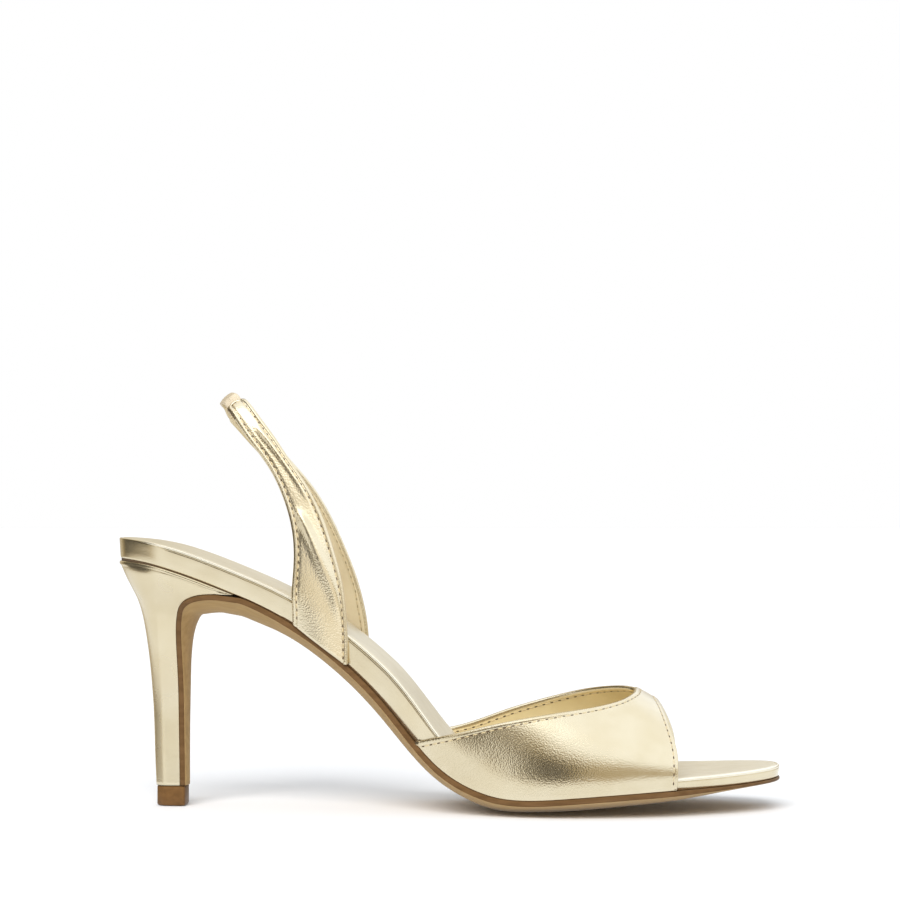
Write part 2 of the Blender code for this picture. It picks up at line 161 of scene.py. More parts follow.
# How far the outsole stands out past the insole, and how much its tan face is crowned
SOLE_SIDE = [
    # x, margin, crown
    (45.0, 0.3, 3.8),
    (56.0, 0.8, 3.6),
    (70.0, 1.1, 3.7),
    (90.0, 1.3, 3.8),
    (108.0, 1.9, 3.4),
    (118.0, 1.9, 3.7),
    (128.0, 1.9, 4.55),
    (138.0, 1.9, 4.0),
    (150.0, 1.9, 4.6),
    (162.0, 1.9, 4.6),
    (175.0, 1.9, 4.2),
    (186.0, 1.8, 3.65),
    (194.0, 1.1, 3.0),
    (207.0, 0.6, 1.7),
    (214.0, 0.5, 0.8),
    (221.0, 0.4, 0.2),
]

# Heel from its seat down to the top piece: where each section starts and ends, and its half width
HEEL = [
    # front x, front z, back x, back z, half width, bow
    (36.0, 70.6, 1.1, 80.0, 21.2, 1.8),
    (29.5, 70.2, 2.1, 77.8, 20.0, 1.3),
    (25.4, 68.8, 3.4, 75.1, 18.2, 0.8),
    (22.9, 66.7, 4.9, 72.3, 16.0, 0.3),
    (21.7, 63.8, 6.5, 69.0, 13.6, 0.0),
    (21.0, 59.5, 8.1, 64.0, 11.3, 0.0),
    (20.8, 54.0, 9.4, 57.0, 9.3, 0.0),
    (20.9, 47.5, 10.5, 48.8, 7.7, 0.0),
    (21.1, 40.0, 11.3, 40.6, 6.6, 0.0),
    (21.2, 30.0, 12.0, 30.3, 5.8, 0.0),
    (21.3, 18.0, 12.4, 18.0, 5.2, 0.0),
    (21.4, 6.7, 12.9, 6.7, 4.9, 0.0),
]
HEEL_SEAT_START = 0.7   # the heel's seat under the insole, from back to front
HEEL_SEAT_END = 41.5
HEEL_SEAT_INSET = 0.2   # and how far its sides lie inside the insole's
FLAP_LEAVES = 42.9      # x at which the outsole leaves the insole and turns under the heel's seat
HEEL_BACK_ROUND = 0.55  # share of a heel section that its round back takes

CROWN_POWER = 2.2       # the outsole's tan face falls off to its edges by this power
FLAP_START = 58.0       # x from which the outsole bends down towards the front of the heel

# Crown of the outsole's flap on the front of the heel
FLAP_CROWN = [
    # z, crown
    (6.7, 0.5),
    (27.0, 0.7),
    (37.0, 0.9),
    (46.0, 1.2),
    (54.0, 1.8),
    (59.0, 2.5),
    (66.0, 3.6),
    (71.0, 3.9),
]

# Vamp: the crest of the last under it, and the two edges of the throat above the seat line
VAMP_SECTIONS = [
    # x, crest z, crest y
    (98.0, 76.0, 1.0),
    (120.0, 59.5, 2.0),
    (140.0, 49.8, 3.2),
    (155.0, 44.8, 4.0),
    (166.0, 41.4, 4.4),
    (173.3, 39.2, 4.5),
    (180.3, 35.4, 4.2),
    (187.0, 31.2, 3.6),
]
THROAT = [
    # x, lateral z, medial z
    (101.5, 23.2, 23.2),
    (106.0, 24.3, 23.8),
    (112.0, 25.7, 25.0),
    (120.0, 27.7, 27.4),
    (128.0, 29.7, 30.3),
    (139.0, 31.9, 33.7),
    (148.0, 33.4, 36.2),
    (158.0, 34.8, 38.5),
    (165.0, 36.1, 39.5),
    (169.5, 37.4, 39.7),
    (173.3, 39.2, 39.2),
]
VAMP_FRONT = [
    # share of the way from the lateral sole (-1) over the crest (0) to the medial sole (1), x
    (-1.0, 186.0),
    (-0.75, 186.1),
    (-0.6, 184.8),
    (-0.45, 183.3),
    (-0.3, 182.0),
    (-0.13, 180.6),
    (0.0, 180.2),
    (0.2, 181.2),
    (0.45, 183.8),
    (0.75, 186.6),
    (1.0, 187.0),
]

# Sling: edges of the band from the sole to the middle of the back, lateral side
SLING = [
    # back edge x, y, z, front edge x, y, z
    (61.0, -23.1, 70.5, 78.4, -22.9, 69.0),
    (61.6, -22.2, 81.5, 75.3, -22.2, 82.5),
    (60.7, -20.6, 92.3, 71.4, -20.5, 94.2),
    (57.6, -18.6, 102.5, 65.9, -18.3, 105.6),
    (52.7, -16.5, 112.2, 59.4, -16.0, 115.0),
    (47.6, -14.6, 119.0, 53.8, -13.9, 123.0),
    (42.9, -12.4, 125.2, 48.8, -11.6, 129.4),
    (38.4, -9.3, 131.4, 44.2, -8.2, 134.8),
]
SLING_BACK = (34.1, 0.0, 133.0, 38.8, 0.0, 137.5)
# The medial side of the loop leans back by this much at each height
SLING_LEAN = [
    # z, x shift
    (50.0, 3.0),
    (58.0, 2.7),
    (67.0, 1.8),
    (80.0, 0.6),
    (90.0, -0.4),
    (98.0, -1.1),
    (107.0, -1.8),
    (116.0, -2.9),
    (124.0, -4.0),
    (135.0, -4.4),
]
SLING_END = 0.125       # share of the half loop, from the middle of the back, that the elastic takes
SLING_FOOT = (61.2, 79.3)   # x of the band's back and front edge where it meets the sole
SLING_ROOT = (61.1, 68.0, 79.1, 62.0)   # back and front edge just above it, x and z of each

# Finish of the edges, in millimetres
EDGE_ROLL = 0.45        # how far the rounded edge of a leather stands out past its own border
EDGE_TURNS = 6
STITCH_SIZE = (0.8, 0.2, 0.16)      # half length, half width and half height, and of a needle hole's dark pit, which is painted shade of the hole
PIT_SIZE = (0.6, 0.27, 0.07)
STITCH_RISE = 0.02      # how far a stitch stands up, and a needle hole's dark pit of painted shade lies in

# Camera, worked out from the photograph's vanishing lines
CAMERA_YAW = 3.5        # in degrees
CAMERA_RISE = -1.6
CAMERA_FAR = 0.9
CAMERA_TARGET = (0.0009, 0.0, 0.1183)
LENS = 108.0
SENSOR = 36.0


# Shape functions, the same as the CAD part's

def spline(knots, values, at):
    """Natural cubic spline through the values, read at the given places."""
    knots = np.asarray(knots, float)
    values = np.asarray(values, float)
    at = np.atleast_1d(np.asarray(at, float))
    count = len(knots)
    step = np.diff(knots)
    system = np.eye(count)
    right = np.zeros(count)
    for k in range(1, count - 1):
        system[k, k - 1:k + 2] = (step[k - 1], 2 * (step[k - 1] + step[k]), step[k])
        right[k] = 6 * ((values[k + 1] - values[k]) / step[k] - (values[k] - values[k - 1]) / step[k - 1])
    bend = np.linalg.solve(system, right)
    k = np.clip(np.searchsorted(knots, at) - 1, 0, count - 2)
    ahead = knots[k + 1] - at
    behind = at - knots[k]
    cubic = (bend[k] * ahead ** 3 + bend[k + 1] * behind ** 3) / (6 * step[k])
    line = (values[k] / step[k] - bend[k] * step[k] / 6) * ahead
    return cubic + line + (values[k + 1] / step[k] - bend[k + 1] * step[k] / 6) * behind


def column(table, index, at):
    rows = np.array(table, float)
    return spline(rows[:, 0], rows[:, index], at)


def between(table, index, at):
    """A column of a table, read along straight lines between its rows."""
    rows = np.array(table, float)
    return np.interp(at, rows[:, 0], rows[:, index])


def smooth(share):
    """Soft step from 0 to 1."""
    share = np.clip(share, 0, 1)
    return share * share * (3 - 2 * share)


def bell(away, wide):
    return np.exp(-(away / wide) ** 2)


def half_width(x):
    """Half width of the insole, closed by a round heel and a soft square toe."""
    from_heel = np.clip((np.asarray(x) - HEEL_END) / HEEL_ROUND, 0, 1)
    from_toe = np.clip((TOE_END - np.asarray(x)) / TOE_ROUND, 0, 1)
    heel = (1 - (1 - from_heel) ** HEEL_POWER) ** (1 / HEEL_POWER)
    toe = (1 - (1 - from_toe) ** TOE_POWER) ** (1 / TOE_POWER)
    return column(PLAN, 1, x) * heel * toe


def middle(x):
    return column(PLAN, 2, x) + AXIS_SHIFT


def seat(x):
    return column(SEAT, 1, x)


def steepness(x):
    """Height of a layer of unit thickness that lies on the slope of the seat line."""
    x = np.asarray(x)
    reach = 0.05
    slope = (seat(x + reach) - seat(x - reach)) / (2 * reach)
    return np.sqrt(1 + slope ** 2)


def stack_top(x):
    return seat(x) + column(STACK, 1, x) * steepness(x)


def path_length(line):
    steps = np.linalg.norm(np.diff(np.asarray(line), axis=0), axis=1)
    return np.concatenate([[0.0], np.cumsum(steps)])


def unit(vectors):
    vectors = np.asarray(vectors, float)
    return vectors / np.maximum(np.linalg.norm(vectors, axis=-1, keepdims=True), 1e-12)


def circle(radius, count):
    turns = np.linspace(0, 2 * math.pi, count, endpoint=False)
    return [(math.cos(turn) * radius, math.sin(turn) * radius) for turn in turns]


# Meshes

def world(points):
    """Table millimetres to scene metres."""
    return (np.asarray(points, float) - ((HEEL_END + TOE_END) / 2, 0, 0)) * MM


def add_object(name, data):
    item = bpy.data.objects.new(name, data)
    bpy.context.scene.collection.objects.link(item)
    return item


def make_piece(name, points, faces, materials, replaced=(), face_materials=None):
    """One mesh piece of the sandal, smooth, with its points given in table millimetres."""
    mesh = bpy.data.meshes.new(name)
    mesh.from_pydata([tuple(p) for p in world(points)], [], faces)
    for material in materials:
        mesh.materials.append(material)
    if face_materials is not None:
        mesh.polygons.foreach_set("material_index", np.asarray(face_materials, np.int32))
    shape = bmesh.new()
    shape.from_mesh(mesh)
    bmesh.ops.remove_doubles(shape, verts=shape.verts, dist=WELD)
    bmesh.ops.recalc_face_normals(shape, faces=shape.faces)
    shape.to_mesh(mesh)
    shape.free()
    mesh.shade_smooth()
    item = add_object(name, mesh)
    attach(item, "root")
    if replaced:
        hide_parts(*replaced)


def ring_faces(rings, sides, start=0, closed_rings=False):
    """Faces between closed rings of points that follow each other."""
    faces = []
    for ring in range(rings if closed_rings else rings - 1):
        here = start + ring * sides
        ahead = start + (ring + 1) % rings * sides
        for side in range(sides):
            after = (side + 1) % sides
            faces.append((here + side, here + after, ahead + after, ahead + side))
    return faces


def capped_faces(rings, sides):
    last = (rings - 1) * sides
    return ring_faces(rings, sides) + [tuple(range(sides)), tuple(range(last, last + sides))]


def grid_faces(rows, columns, start=0):
    faces = []
    for row in range(rows - 1):
        for across in range(columns - 1):
            first = start + row * columns + across
            faces.append((first, first + 1, first + columns + 1, first + columns))
    return faces


def loft(name, loops, material, replaced):
    """Closed body through closed loops of equal length, with a cap on each end."""
    loops = np.asarray(loops, float)
    make_piece(name, loops.reshape(-1, 3), capped_faces(*loops.shape[:2]), [material], [replaced])


def tube(name, path, across, up, ring, material, closed=False):
    """Body swept along a path: ring holds its section as shares of the two ways across."""
    ring = np.asarray(ring, float)
    points = path[:, None] + across[:, None] * ring[None, :, :1] + up[:, None] * ring[None, :, 1:]
    size = (len(path), len(ring))
    faces = ring_faces(*size, closed_rings=True) if closed else capped_faces(*size)
    make_piece(name, points.reshape(-1, 3), faces, [material])


def grid_normals(grid, inside):
    """Unit normals of a grid of points, which point away from a place inside it, seen from above."""
    normals = unit(np.cross(np.gradient(grid, axis=0), np.gradient(grid, axis=1)))
    return normals if (normals * (grid - inside))[..., :2].sum() > 0 else -normals


def ways_out(points, normals, along, inner):
    """Ways out of a sheet across its border, whose next points inwards are given."""
    out = unit(np.cross(along, normals))
    return out * np.sign(((points - inner) * out).sum(1))[:, None]


def grid_border(grid, normals):
    """Border of a grid as one closed loop: points, normals, ways out of the sheet and indices."""
    rows, columns = grid.shape[:2]
    places = [(0, k, 1, k) for k in range(columns - 1)]
    places += [(k, columns - 1, k, columns - 2) for k in range(rows - 1)]
    places += [(rows - 1, k, rows - 2, k) for k in range(columns - 1, 0, -1)]
    places += [(k, 0, k, 1) for k in range(rows - 1, 0, -1)]
    row, across, inner_row, inner_across = np.array(places).T
    points, ways = grid[row, across], normals[row, across]
    along = np.roll(points, -1, axis=0) - np.roll(points, 1, axis=0)
    out = ways_out(points, ways, along, grid[inner_row, inner_across])
    return points, ways, out, row * columns + across


def shell(name, grid, normals, wall, materials, replaced):
    """Leather sheet with a wall on its inner side and a rounded edge all round.

    materials are the outer leather and the lining.
    """
    count = grid.shape[0] * grid.shape[1]
    points = [grid.reshape(-1, 3), (grid - normals * wall).reshape(-1, 3)]
    faces = grid_faces(*grid.shape[:2])
    marks = [0] * len(faces) + [1] * len(faces)
    faces += grid_faces(*grid.shape[:2], count)
    edge, ways, out, index = grid_border(grid, normals)
    rings = [index]
    for turn in range(1, EDGE_TURNS):
        angle = math.pi * turn / EDGE_TURNS
        points.append(edge + ways * (math.cos(angle) - 1) * wall / 2 + out * math.sin(angle) * EDGE_ROLL)
        rings.append(2 * count + (turn - 1) * len(edge) + np.arange(len(edge)))
    rings.append(index + count)
    for turn, (ring, ahead) in enumerate(zip(rings, rings[1:])):
        faces += np.stack([ring, np.roll(ring, -1), np.roll(ahead, -1), ahead], 1).tolist()
        marks += [int(turn == EDGE_TURNS - 1)] * len(edge)
    make_piece(name, np.concatenate(points), faces, materials, replaced=[replaced], face_materials=marks)


def lay(grid, points, ways):
    """The nearest points of a surface, with its normals turned to face as the given ways do."""
    tree = BVHTree.FromPolygons([Vector(p) for p in grid.reshape(-1, 3)], grid_faces(*grid.shape[:2]))
    places = []
    normals = []
    for point, way in zip(points, ways):
        place, normal = tree.find_nearest(Vector(point))[:2]
        places.append(place)
        normals.append(normal if normal.dot(Vector(way)) > 0 else -normal)
    return np.array(places), unit(np.array(normals))


def resample(points, pitch, *others):
    """Points at an even pitch along a path, with other values of the path read at the same places."""
    along = path_length(points)
    count = max(int(round(along[-1] / pitch)), 1)
    at = np.linspace(0, along[-1], count + 1)
    read = []
    for values in (points,) + others:
        read.append(np.stack([np.interp(at, along, values[:, k]) for k in range(3)], 1))
    return read


def stitches(name, path, normals, pitch, materials):
    """Row of sewn stitches with a dark pit at each end of the thread, painted shade of a needle hole."""
    places, ways = resample(path, pitch, normals)
    ways = unit(ways)
    points = []
    faces = []
    marks = []

    def add_ball(centre, long_way, up, size, mark, rings, sides=8):
        side = unit(np.cross(long_way, up))
        ball = ring_faces(rings + 1, sides, len(points))
        faces.extend(ball)
        marks.extend([mark] * len(ball))
        for polar in np.linspace(0, math.pi, rings + 1):
            for along, across in circle(math.sin(polar), sides):
                points.append(centre - long_way * size[0] * math.cos(polar)
                              + side * size[1] * along + up * size[2] * across)

    for k, centre in enumerate((places[1:] + places[:-1]) / 2):
        up = unit(ways[k] + ways[k + 1])
        add_ball(centre + up * STITCH_RISE, unit(places[k + 1] - places[k]), up, STITCH_SIZE, 0, 6)
    for centre, up, way in zip(places, ways, unit(np.gradient(places, axis=0))):
        add_ball(centre - up * STITCH_RISE, way, up, PIT_SIZE, 1, 4)
    make_piece(name, points, faces, materials, face_materials=marks)


def sew(name, row, normals, pitch, wall, looks, inner_hole_shade):
    """The stitches of a seam on the leather and, under them, on its lining."""
    stitches(name + "_stitches", row, normals, pitch, [looks["thread"], looks["needle_hole_shade"]])
    inside = row - normals * (wall + STITCH_RISE)
    stitches(name + "_inner_stitches", inside, -normals, pitch, [looks["thread"], looks[inner_hole_shade]])


def fold_ring(width, wall, high):
    """Section of a folded edge that wraps a sheet: across the edge (out is positive), and up."""
    out = EDGE_ROLL + 0.05
    outer = [(-width - 0.3, -0.3), (-width + 0.05, high * 0.35), (-width * 0.6, high), (-0.25, high * 0.8)]
    turn = [(math.sin(angle) * out, (math.cos(angle) - 1) * wall / 2) for angle in np.linspace(0.35, 2.8, 6)]
    inner = [(-0.25, -wall - high * 0.6), (-width * 0.5, -wall - high * 0.7), (-width, -wall + 0.1)]
    core = [(-width, -wall / 2)]
    return outer + turn + inner + core


# Footbed

LAYER_SECTION = [
    # inset, share of the thickness
    (0.9, 0.0), (0.6, 0.02), (0.45, 0.06), (0.37, 0.12), (0.24, 0.4), (0.1, 0.7), (0.01, 0.9), (0.0, 0.955),
    (0.05, 0.98), (0.2, 0.995), (0.45, 1.0), (1.2, 1.0),
]
TOE_DROP = 0.85         # how far the wrap reaches down over the sole's edge at the toe
TOE_DROP_START = 176.0  # from this x, over this length
TOE_DROP_LONG = 36.0
SOCK_DEEP = 1.3
SOCK_SECTION = [
    (0.95, 0.0), (0.7, 0.35), (0.72, 0.55), (0.9, 0.75), (1.3, 0.9), (1.9, 0.97), (2.8, 1.0),
]
WRAP_TOP = [
    # x, how far the top of the wrapped side lies under the sock's surface
    (0.0, 0.3),
    (9.0, 0.45),
    (20.0, 1.2),
    (221.0, 1.2),
]
BEAD = [
    # x, radius, depth under the sock's surface, how far it stands out past the wrapped side
    (0.0, 0.3, 0.7, -0.4),
    (7.0, 0.3, 0.7, -0.3),
    (16.0, 0.42, 0.72, 0.12),
    (110.0, 0.44, 0.72, 0.12),
    (150.0, 0.48, 0.73, 0.12),
    (190.0, 0.6, 0.76, 0.1),
    (221.0, 0.66, 0.8, 0.04),
]


def toe_drop(x):
    """How far the insole's wrap reaches down over the sole's edge, which is thinner at the toe."""
    return TOE_DROP * smooth((np.asarray(x) - TOE_DROP_START) / TOE_DROP_LONG)


def inset_ways(along, edge_y, side):
    run = np.gradient(along)
    rise = np.gradient(edge_y)
    length = np.hypot(run, rise)
    return np.stack([side * rise / length, -side * run / length], 1)


def plate_loops(line, normal, along, low_y, high_y, rim, columns, base, crown=0.0):
    """Loops of a plate that follows a line in the side view, as in the CAD part.

    base is its thickness at its two edges, and crown how much thicker its middle is.
    """
    tangent = np.gradient(line, axis=0) / np.gradient(along)[:, None]
    closed = high_y - low_y < 1e-6
    inward = np.where(along[closed] < along.mean(), 1, -1)
    rims = {}
    for side, edge_y in ((-1, low_y), (1, high_y)):
        way = inset_ways(along, edge_y, side)
        way[closed] = inward[:, None] * (1, 0)
        rims[side] = [(way[:, 0] * inset, edge_y + way[:, 1] * inset, base * part) for inset, part in rim]
    far = []
    near = []
    for share in np.linspace(-1, 1, columns + 1)[1:-1]:
        mix = (share + 1) / 2
        thick = base + crown * (1 - abs(share) ** CROWN_POWER)
        for row, corner, depth in ((far, -1, thick), (near, 0, 0 * base)):
            low, high = rims[-1][corner], rims[1][corner]
            row.append((low[0] * (1 - mix) + high[0] * mix, low[1] * (1 - mix) + high[1] * mix, depth))
    shift, y, depth = np.array(rims[-1] + far + rims[1][::-1] + near[::-1]).transpose(1, 2, 0)
    across = line[:, None] + tangent[:, None] * shift[..., None] + normal[:, None] * depth[..., None]
    return np.stack([across[..., 0], y, across[..., 1]], -1)


def heel_stations(steps):
    turn = np.linspace(0, math.pi / 2, steps, endpoint=False)
    return HEEL_END + HEEL_ROUND * (1 - np.cos(turn))


def fore_stations(start, body_steps, toe_steps):
    toe_start = TOE_END - TOE_ROUND
    body = np.linspace(start, toe_start, body_steps, endpoint=False)
    turn = np.linspace(0, math.pi / 2, toe_steps + 1)
    return np.concatenate([body, toe_start + TOE_ROUND * np.sin(turn)])


def footbed_stations():
    return np.concatenate([heel_stations(22), fore_stations(HEEL_END + HEEL_ROUND, 90, 30)])


def footbed_layer(bottom_z, top_z, rim, columns):
    x = footbed_stations()
    half = half_width(x)
    line = np.stack([x, bottom_z], 1)
    upward = np.tile((0.0, 1.0), (len(x), 1))
    return plate_loops(line, upward, x, middle(x) - half, middle(x) + half, rim, columns, top_z - bottom_z)


def build_footbed(looks):
    x = footbed_stations()
    steep = steepness(x)
    top = stack_top(x)
    board_top = top - between(WRAP_TOP, 1, x) * steep
    board = footbed_layer(seat(x) - toe_drop(x), board_top, LAYER_SECTION, columns=10)
    loft("insole_wrap", board, looks["insole_wrap"], "insole")
    sock = footbed_layer(top - SOCK_DEEP * steep, top, SOCK_SECTION, columns=22)
    loft("sock_lining", sock, looks["sock"], "sock")
    build_bead(looks)


def build_bead(looks):
    """Piping that lies in the corner between the sock's edge and the insole's wrapped side."""
    x = footbed_stations()
    half = half_width(x)
    low = np.stack([x, middle(x) - half], 1)
    high = np.stack([x, middle(x) + half], 1)
    plan = np.concatenate([low, high[::-1][1:-1]])
    along = np.roll(plan, -1, axis=0) - np.roll(plan, 1, axis=0)
    out = unit(np.stack([along[:, 1], -along[:, 0]], 1))
    radius, depth, proud = [between(BEAD, k, plan[:, 0]) for k in (1, 2, 3)]
    inset = plan - out * (radius - proud)[:, None]
    height = stack_top(plan[:, 0]) - depth * steepness(plan[:, 0])
    path = np.column_stack([inset, height])
    path_way = unit(np.roll(path, -1, axis=0) - np.roll(path, 1, axis=0))
    out = np.column_stack([out, np.zeros(len(out))])
    up = unit(np.cross(out, path_way))
    up *= np.sign(up[:, 2])[:, None]
    out *= radius[:, None]
    up *= radius[:, None]
    tube("sock_bead", path, out, up, circle(1.0, 12), looks["bead"], closed=True)


# Outsole

EDGE_SECTION = [(0.35, 0.0), (0.1, 0.05), (0.0, 0.2), (0.0, 0.8), (0.1, 0.95), (0.3, 1.0)]
FACE_SECTION = [(0.5, 0.0), (0.28, 0.1), (0.2, 0.35), (0.3, 0.8), (0.6, 1.0)]
DARK_THICK = 1.75       # thickness of the dark edge
DARK_THINNER = 1.05     # how much thinner the edge is where the wrap reaches down, per millimetre of that
FACE_RIM = 0.25         # thickness of the tan face at its own edge
CROWN_EVEN = 6.0        # the sole's crown and direction are evened out over this length along it
BEND_EVEN = 10.0        # and its line too, this near to where the flap leaves the shank
CROWN_AT_BEND = [
    # how much fuller than its solid, how far past that place, half width
    (1.25, -5.0, 11.0),
    (0.9, 17.0, 7.0),
]
CROWN_AT_TOE = (0.3, 201.0, 10.0)   # how much flatter, x, half width


def heel_rows(count):
    """Rows of the heel's table at even steps down its front."""
    rows = np.array(HEEL, float)
    along = path_length(rows[:, :2])
    at = np.linspace(0, along[-1], count)
    return np.stack([spline(along, rows[:, k], at) for k in range(rows.shape[1])], 1)


def sole_line():
    """Side view and edges of the outsole's inner face, from the toe tip to the foot of the heel."""
    x = fore_stations(FLAP_START, 80, 30)[::-1]
    half = half_width(x) + column(SOLE_SIDE, 1, x)
    half[0] = 0.0
    heel = heel_rows(60)
    seat_x = np.linspace(FLAP_START, FLAP_LEAVES, 12)[1:]
    bend_x = np.concatenate([seat_x, heel[:, 0]])
    bend_z = np.concatenate([seat(seat_x), heel[:, 1]])
    bend_half = np.concatenate([half_width(seat_x) + GAP, heel[:, 4]])
    line = np.stack([np.concatenate([x, bend_x]), np.concatenate([seat(x), bend_z])], 1)
    half = np.concatenate([half, bend_half])
    centre = np.concatenate([middle(x), np.full(len(bend_x), AXIS_SHIFT)])
    return line, half, centre


def build_outsole(looks):
    line, half, centre = sole_line()
    along = path_length(line)
    tangent = unit(np.gradient(line, axis=0))
    normal = np.stack([-tangent[:, 1], tangent[:, 0]], 1)
    on_flap = line[:, 0] < SOLE_SIDE[0][0]
    crown = np.where(on_flap, between(FLAP_CROWN, 1, line[:, 1]), between(SOLE_SIDE, 2, line[:, 0]))
    bend = along[np.argmin(np.abs(line[:, 0] - FLAP_LEAVES) + np.abs(line[:, 1] - seat(FLAP_LEAVES)[0]))]
    for fuller, place, wide in CROWN_AT_BEND:
        crown += fuller * bell(along - bend - place, wide)
    flatter, place, wide = CROWN_AT_TOE
    crown -= flatter * bell(line[:, 0] - place, wide)
    reach = bell(along[:, None] - along[None], CROWN_EVEN) * np.gradient(along)[None]
    reach /= reach.sum(1)[:, None]
    crown = reach @ crown
    normal = unit(reach @ normal)
    near_bend = bell(along - bend, BEND_EVEN)[:, None]
    line = line * (1 - near_bend) + reach @ line * near_bend
    drop = np.where(line[:, 1] < seat(line[:, 0]) - 1.0, 0.0, toe_drop(line[:, 0]))
    thick = DARK_THICK - DARK_THINNER * drop
    line = line + normal * drop[:, None]
    low, high = centre - half, centre + half
    edge_line = line + normal * 0.05
    edge = plate_loops(edge_line, normal, along, low, high, EDGE_SECTION, 14, thick)
    face_line = line + normal * (thick - 0.02)[:, None]
    rim = np.full(len(line), FACE_RIM)
    face = plate_loops(face_line, normal, along, low, high, FACE_SECTION, 24, rim, crown)
    for name, loops in (("sole_edge", edge), ("sole_face", face)):
        loops[..., 2] = np.maximum(loops[..., 2], 0.0)
        loft(name, loops, looks[name], "outsole")


# Heel and top piece

HEEL_LIP = [
    # depth below the seat, inset, share of the gap behind, groove, for the folded edge of the heel's wrap
    (0.0, 1.9, 0.0, 0.0), (0.05, 1.6, 1.0, 0.0), (0.08, 0.8, 1.0, 0.0), (0.2, 0.3, 1.0, 0.0),
    (0.45, 0.06, 1.0, 0.0), (0.8, 0.0, 1.0, 0.0), (1.1, 0.0, 1.0, 0.02), (1.25, 0.0, 1.0, 0.15),
    (1.36, 0.0, 1.0, 0.15), (1.5, 0.0, 1.0, 0.02),
]
HEEL_GAP = 0.5          # the wrap's edge stands this far off the insole at the very back
HEEL_GAP_LONG = 17.0    # and closes up over this length, by this power
HEEL_GAP_POWER = 1.3
HEEL_ROW_DEPTH = 2.1    # the gap has closed at this depth under the seat
HEEL_LIP_BACK = 0.12    # the lip lies this much further in at the back
HEEL_LIP_FADE = 8.0     # it thins out over this length at the front
GROOVE_START = 11.0     # x from which its groove comes in
HEEL_SEAM_SHADE = (1.6, 0.75) # inner and outer inset of the dark ring in which the wrap's edge meets the insole: its glue edge's own dark colour and painted shade of the gap
HEEL_SEAM_SHADE_RISE = 0.1


def build_heel(looks):
    straight = np.linspace(0, 1 - HEEL_BACK_ROUND, 13)[:-1]
    turn = np.linspace(0, math.pi / 2, 25)
    share = np.concatenate([straight, 1 - HEEL_BACK_ROUND * (1 - np.sin(turn))])
    side = np.concatenate([np.ones(len(straight)), np.cos(turn)])
    seat_x = HEEL_SEAT_START + (HEEL_SEAT_END - HEEL_SEAT_START) * (1 - share)
    under_z = seat(seat_x) - GAP
    gap = HEEL_GAP * np.clip(1 - seat_x / HEEL_GAP_LONG, 0, 1) ** HEEL_GAP_POWER
    fade = np.clip((HEEL_SEAT_END - seat_x) / HEEL_LIP_FADE, 0, 1)
    groove_fade = np.clip((seat_x - GROOVE_START) / HEEL_LIP_FADE, 0, 1)

    def seat_section(inset, z):
        half = np.maximum(half_width(seat_x) - HEEL_SEAT_INSET - inset * side, 0)
        half[-1] = 0.0
        return np.stack([seat_x + inset * (1 - side), half, z], 1)

    sections = []
    for depth, straight_inset, opened, groove in HEEL_LIP:
        left = 1 - depth / HEEL_ROW_DEPTH
        inset = straight_inset + groove * groove_fade + HEEL_LIP_BACK * left * (1 - side)
        sections.append(seat_section(inset, under_z - gap * opened * left - depth * fade))
    for front_x, front_z, back_x, back_z, half, bow in heel_rows(70):
        x = front_x + (back_x - front_x) * share
        z = front_z + (back_z - front_z) * share + bow * 4 * share * (1 - share)
        sections.append(np.stack([x, half * side, z], 1))
    loft("heel_wrap", mirrored(sections), looks["heel_wrap"], "heel")
    # a dark ring fills the gap under the insole's edge: the glue edge's own dark colour and painted shade of
    # the gap
    seam_shade_in, seam_shade_out = HEEL_SEAM_SHADE
    seam_shade_top = under_z + (GAP + HEEL_SEAM_SHADE_RISE)
    seam_shade_low = under_z - HEEL_GAP * fade
    corners = ((seam_shade_in, seam_shade_top), (seam_shade_out, seam_shade_top), (seam_shade_out, seam_shade_low), (seam_shade_in, seam_shade_low))
    loops = mirrored([seat_section(inset, z) for inset, z in corners])
    faces = ring_faces(len(loops), len(loops[0]), closed_rings=True)
    make_piece("heel_seam", np.concatenate(loops), faces, [looks["seam"]])


def mirrored(sections):
    """Closed loops from half sections that run from front to back."""
    loops = []
    for section in sections:
        lateral = section * (1, -1, 1)
        medial = section[::-1][1:]
        loops.append(np.concatenate([lateral, medial]) + (0, AXIS_SHIFT, 0))
    return loops


TOP_PIECE_CORNER = 0.7
TOP_PIECE_LEVELS = [
    # z, inset
    (0.0, 0.5),
    (0.1, 0.2),
    (0.4, 0.0),
    (TOP_PIECE_HIGH - 0.3, 0.0),
    (TOP_PIECE_HIGH, 0.25),
]


def build_top_piece(looks):
    turn = np.linspace(-math.pi / 2, math.pi / 2, 25)
    # its front corners: insets from the front and from the side
    corner = [(TOP_PIECE_CORNER, 0.0), (0.2, 0.2), (0.0, TOP_PIECE_CORNER)]
    loops = []
    for z, inset in TOP_PIECE_LEVELS:
        half = TOP_PIECE_HALF - inset
        front = TOP_PIECE_FRONT - inset
        ahead = [(front - deep, half - side) for deep, side in corner]
        back = TOP_PIECE_BACK + inset + half * (1 - np.cos(turn))
        x = np.concatenate([back, [x for x, y in ahead + ahead[::-1]]])
        y = np.concatenate([np.sin(turn) * half, [y for x, y in ahead], [-y for x, y in ahead[::-1]]])
        loops.append(np.stack([x, y + AXIS_SHIFT, np.full_like(x, z)], 1))
    loft("wear_block", loops, looks["top_piece"], "top_piece")


# Vamp

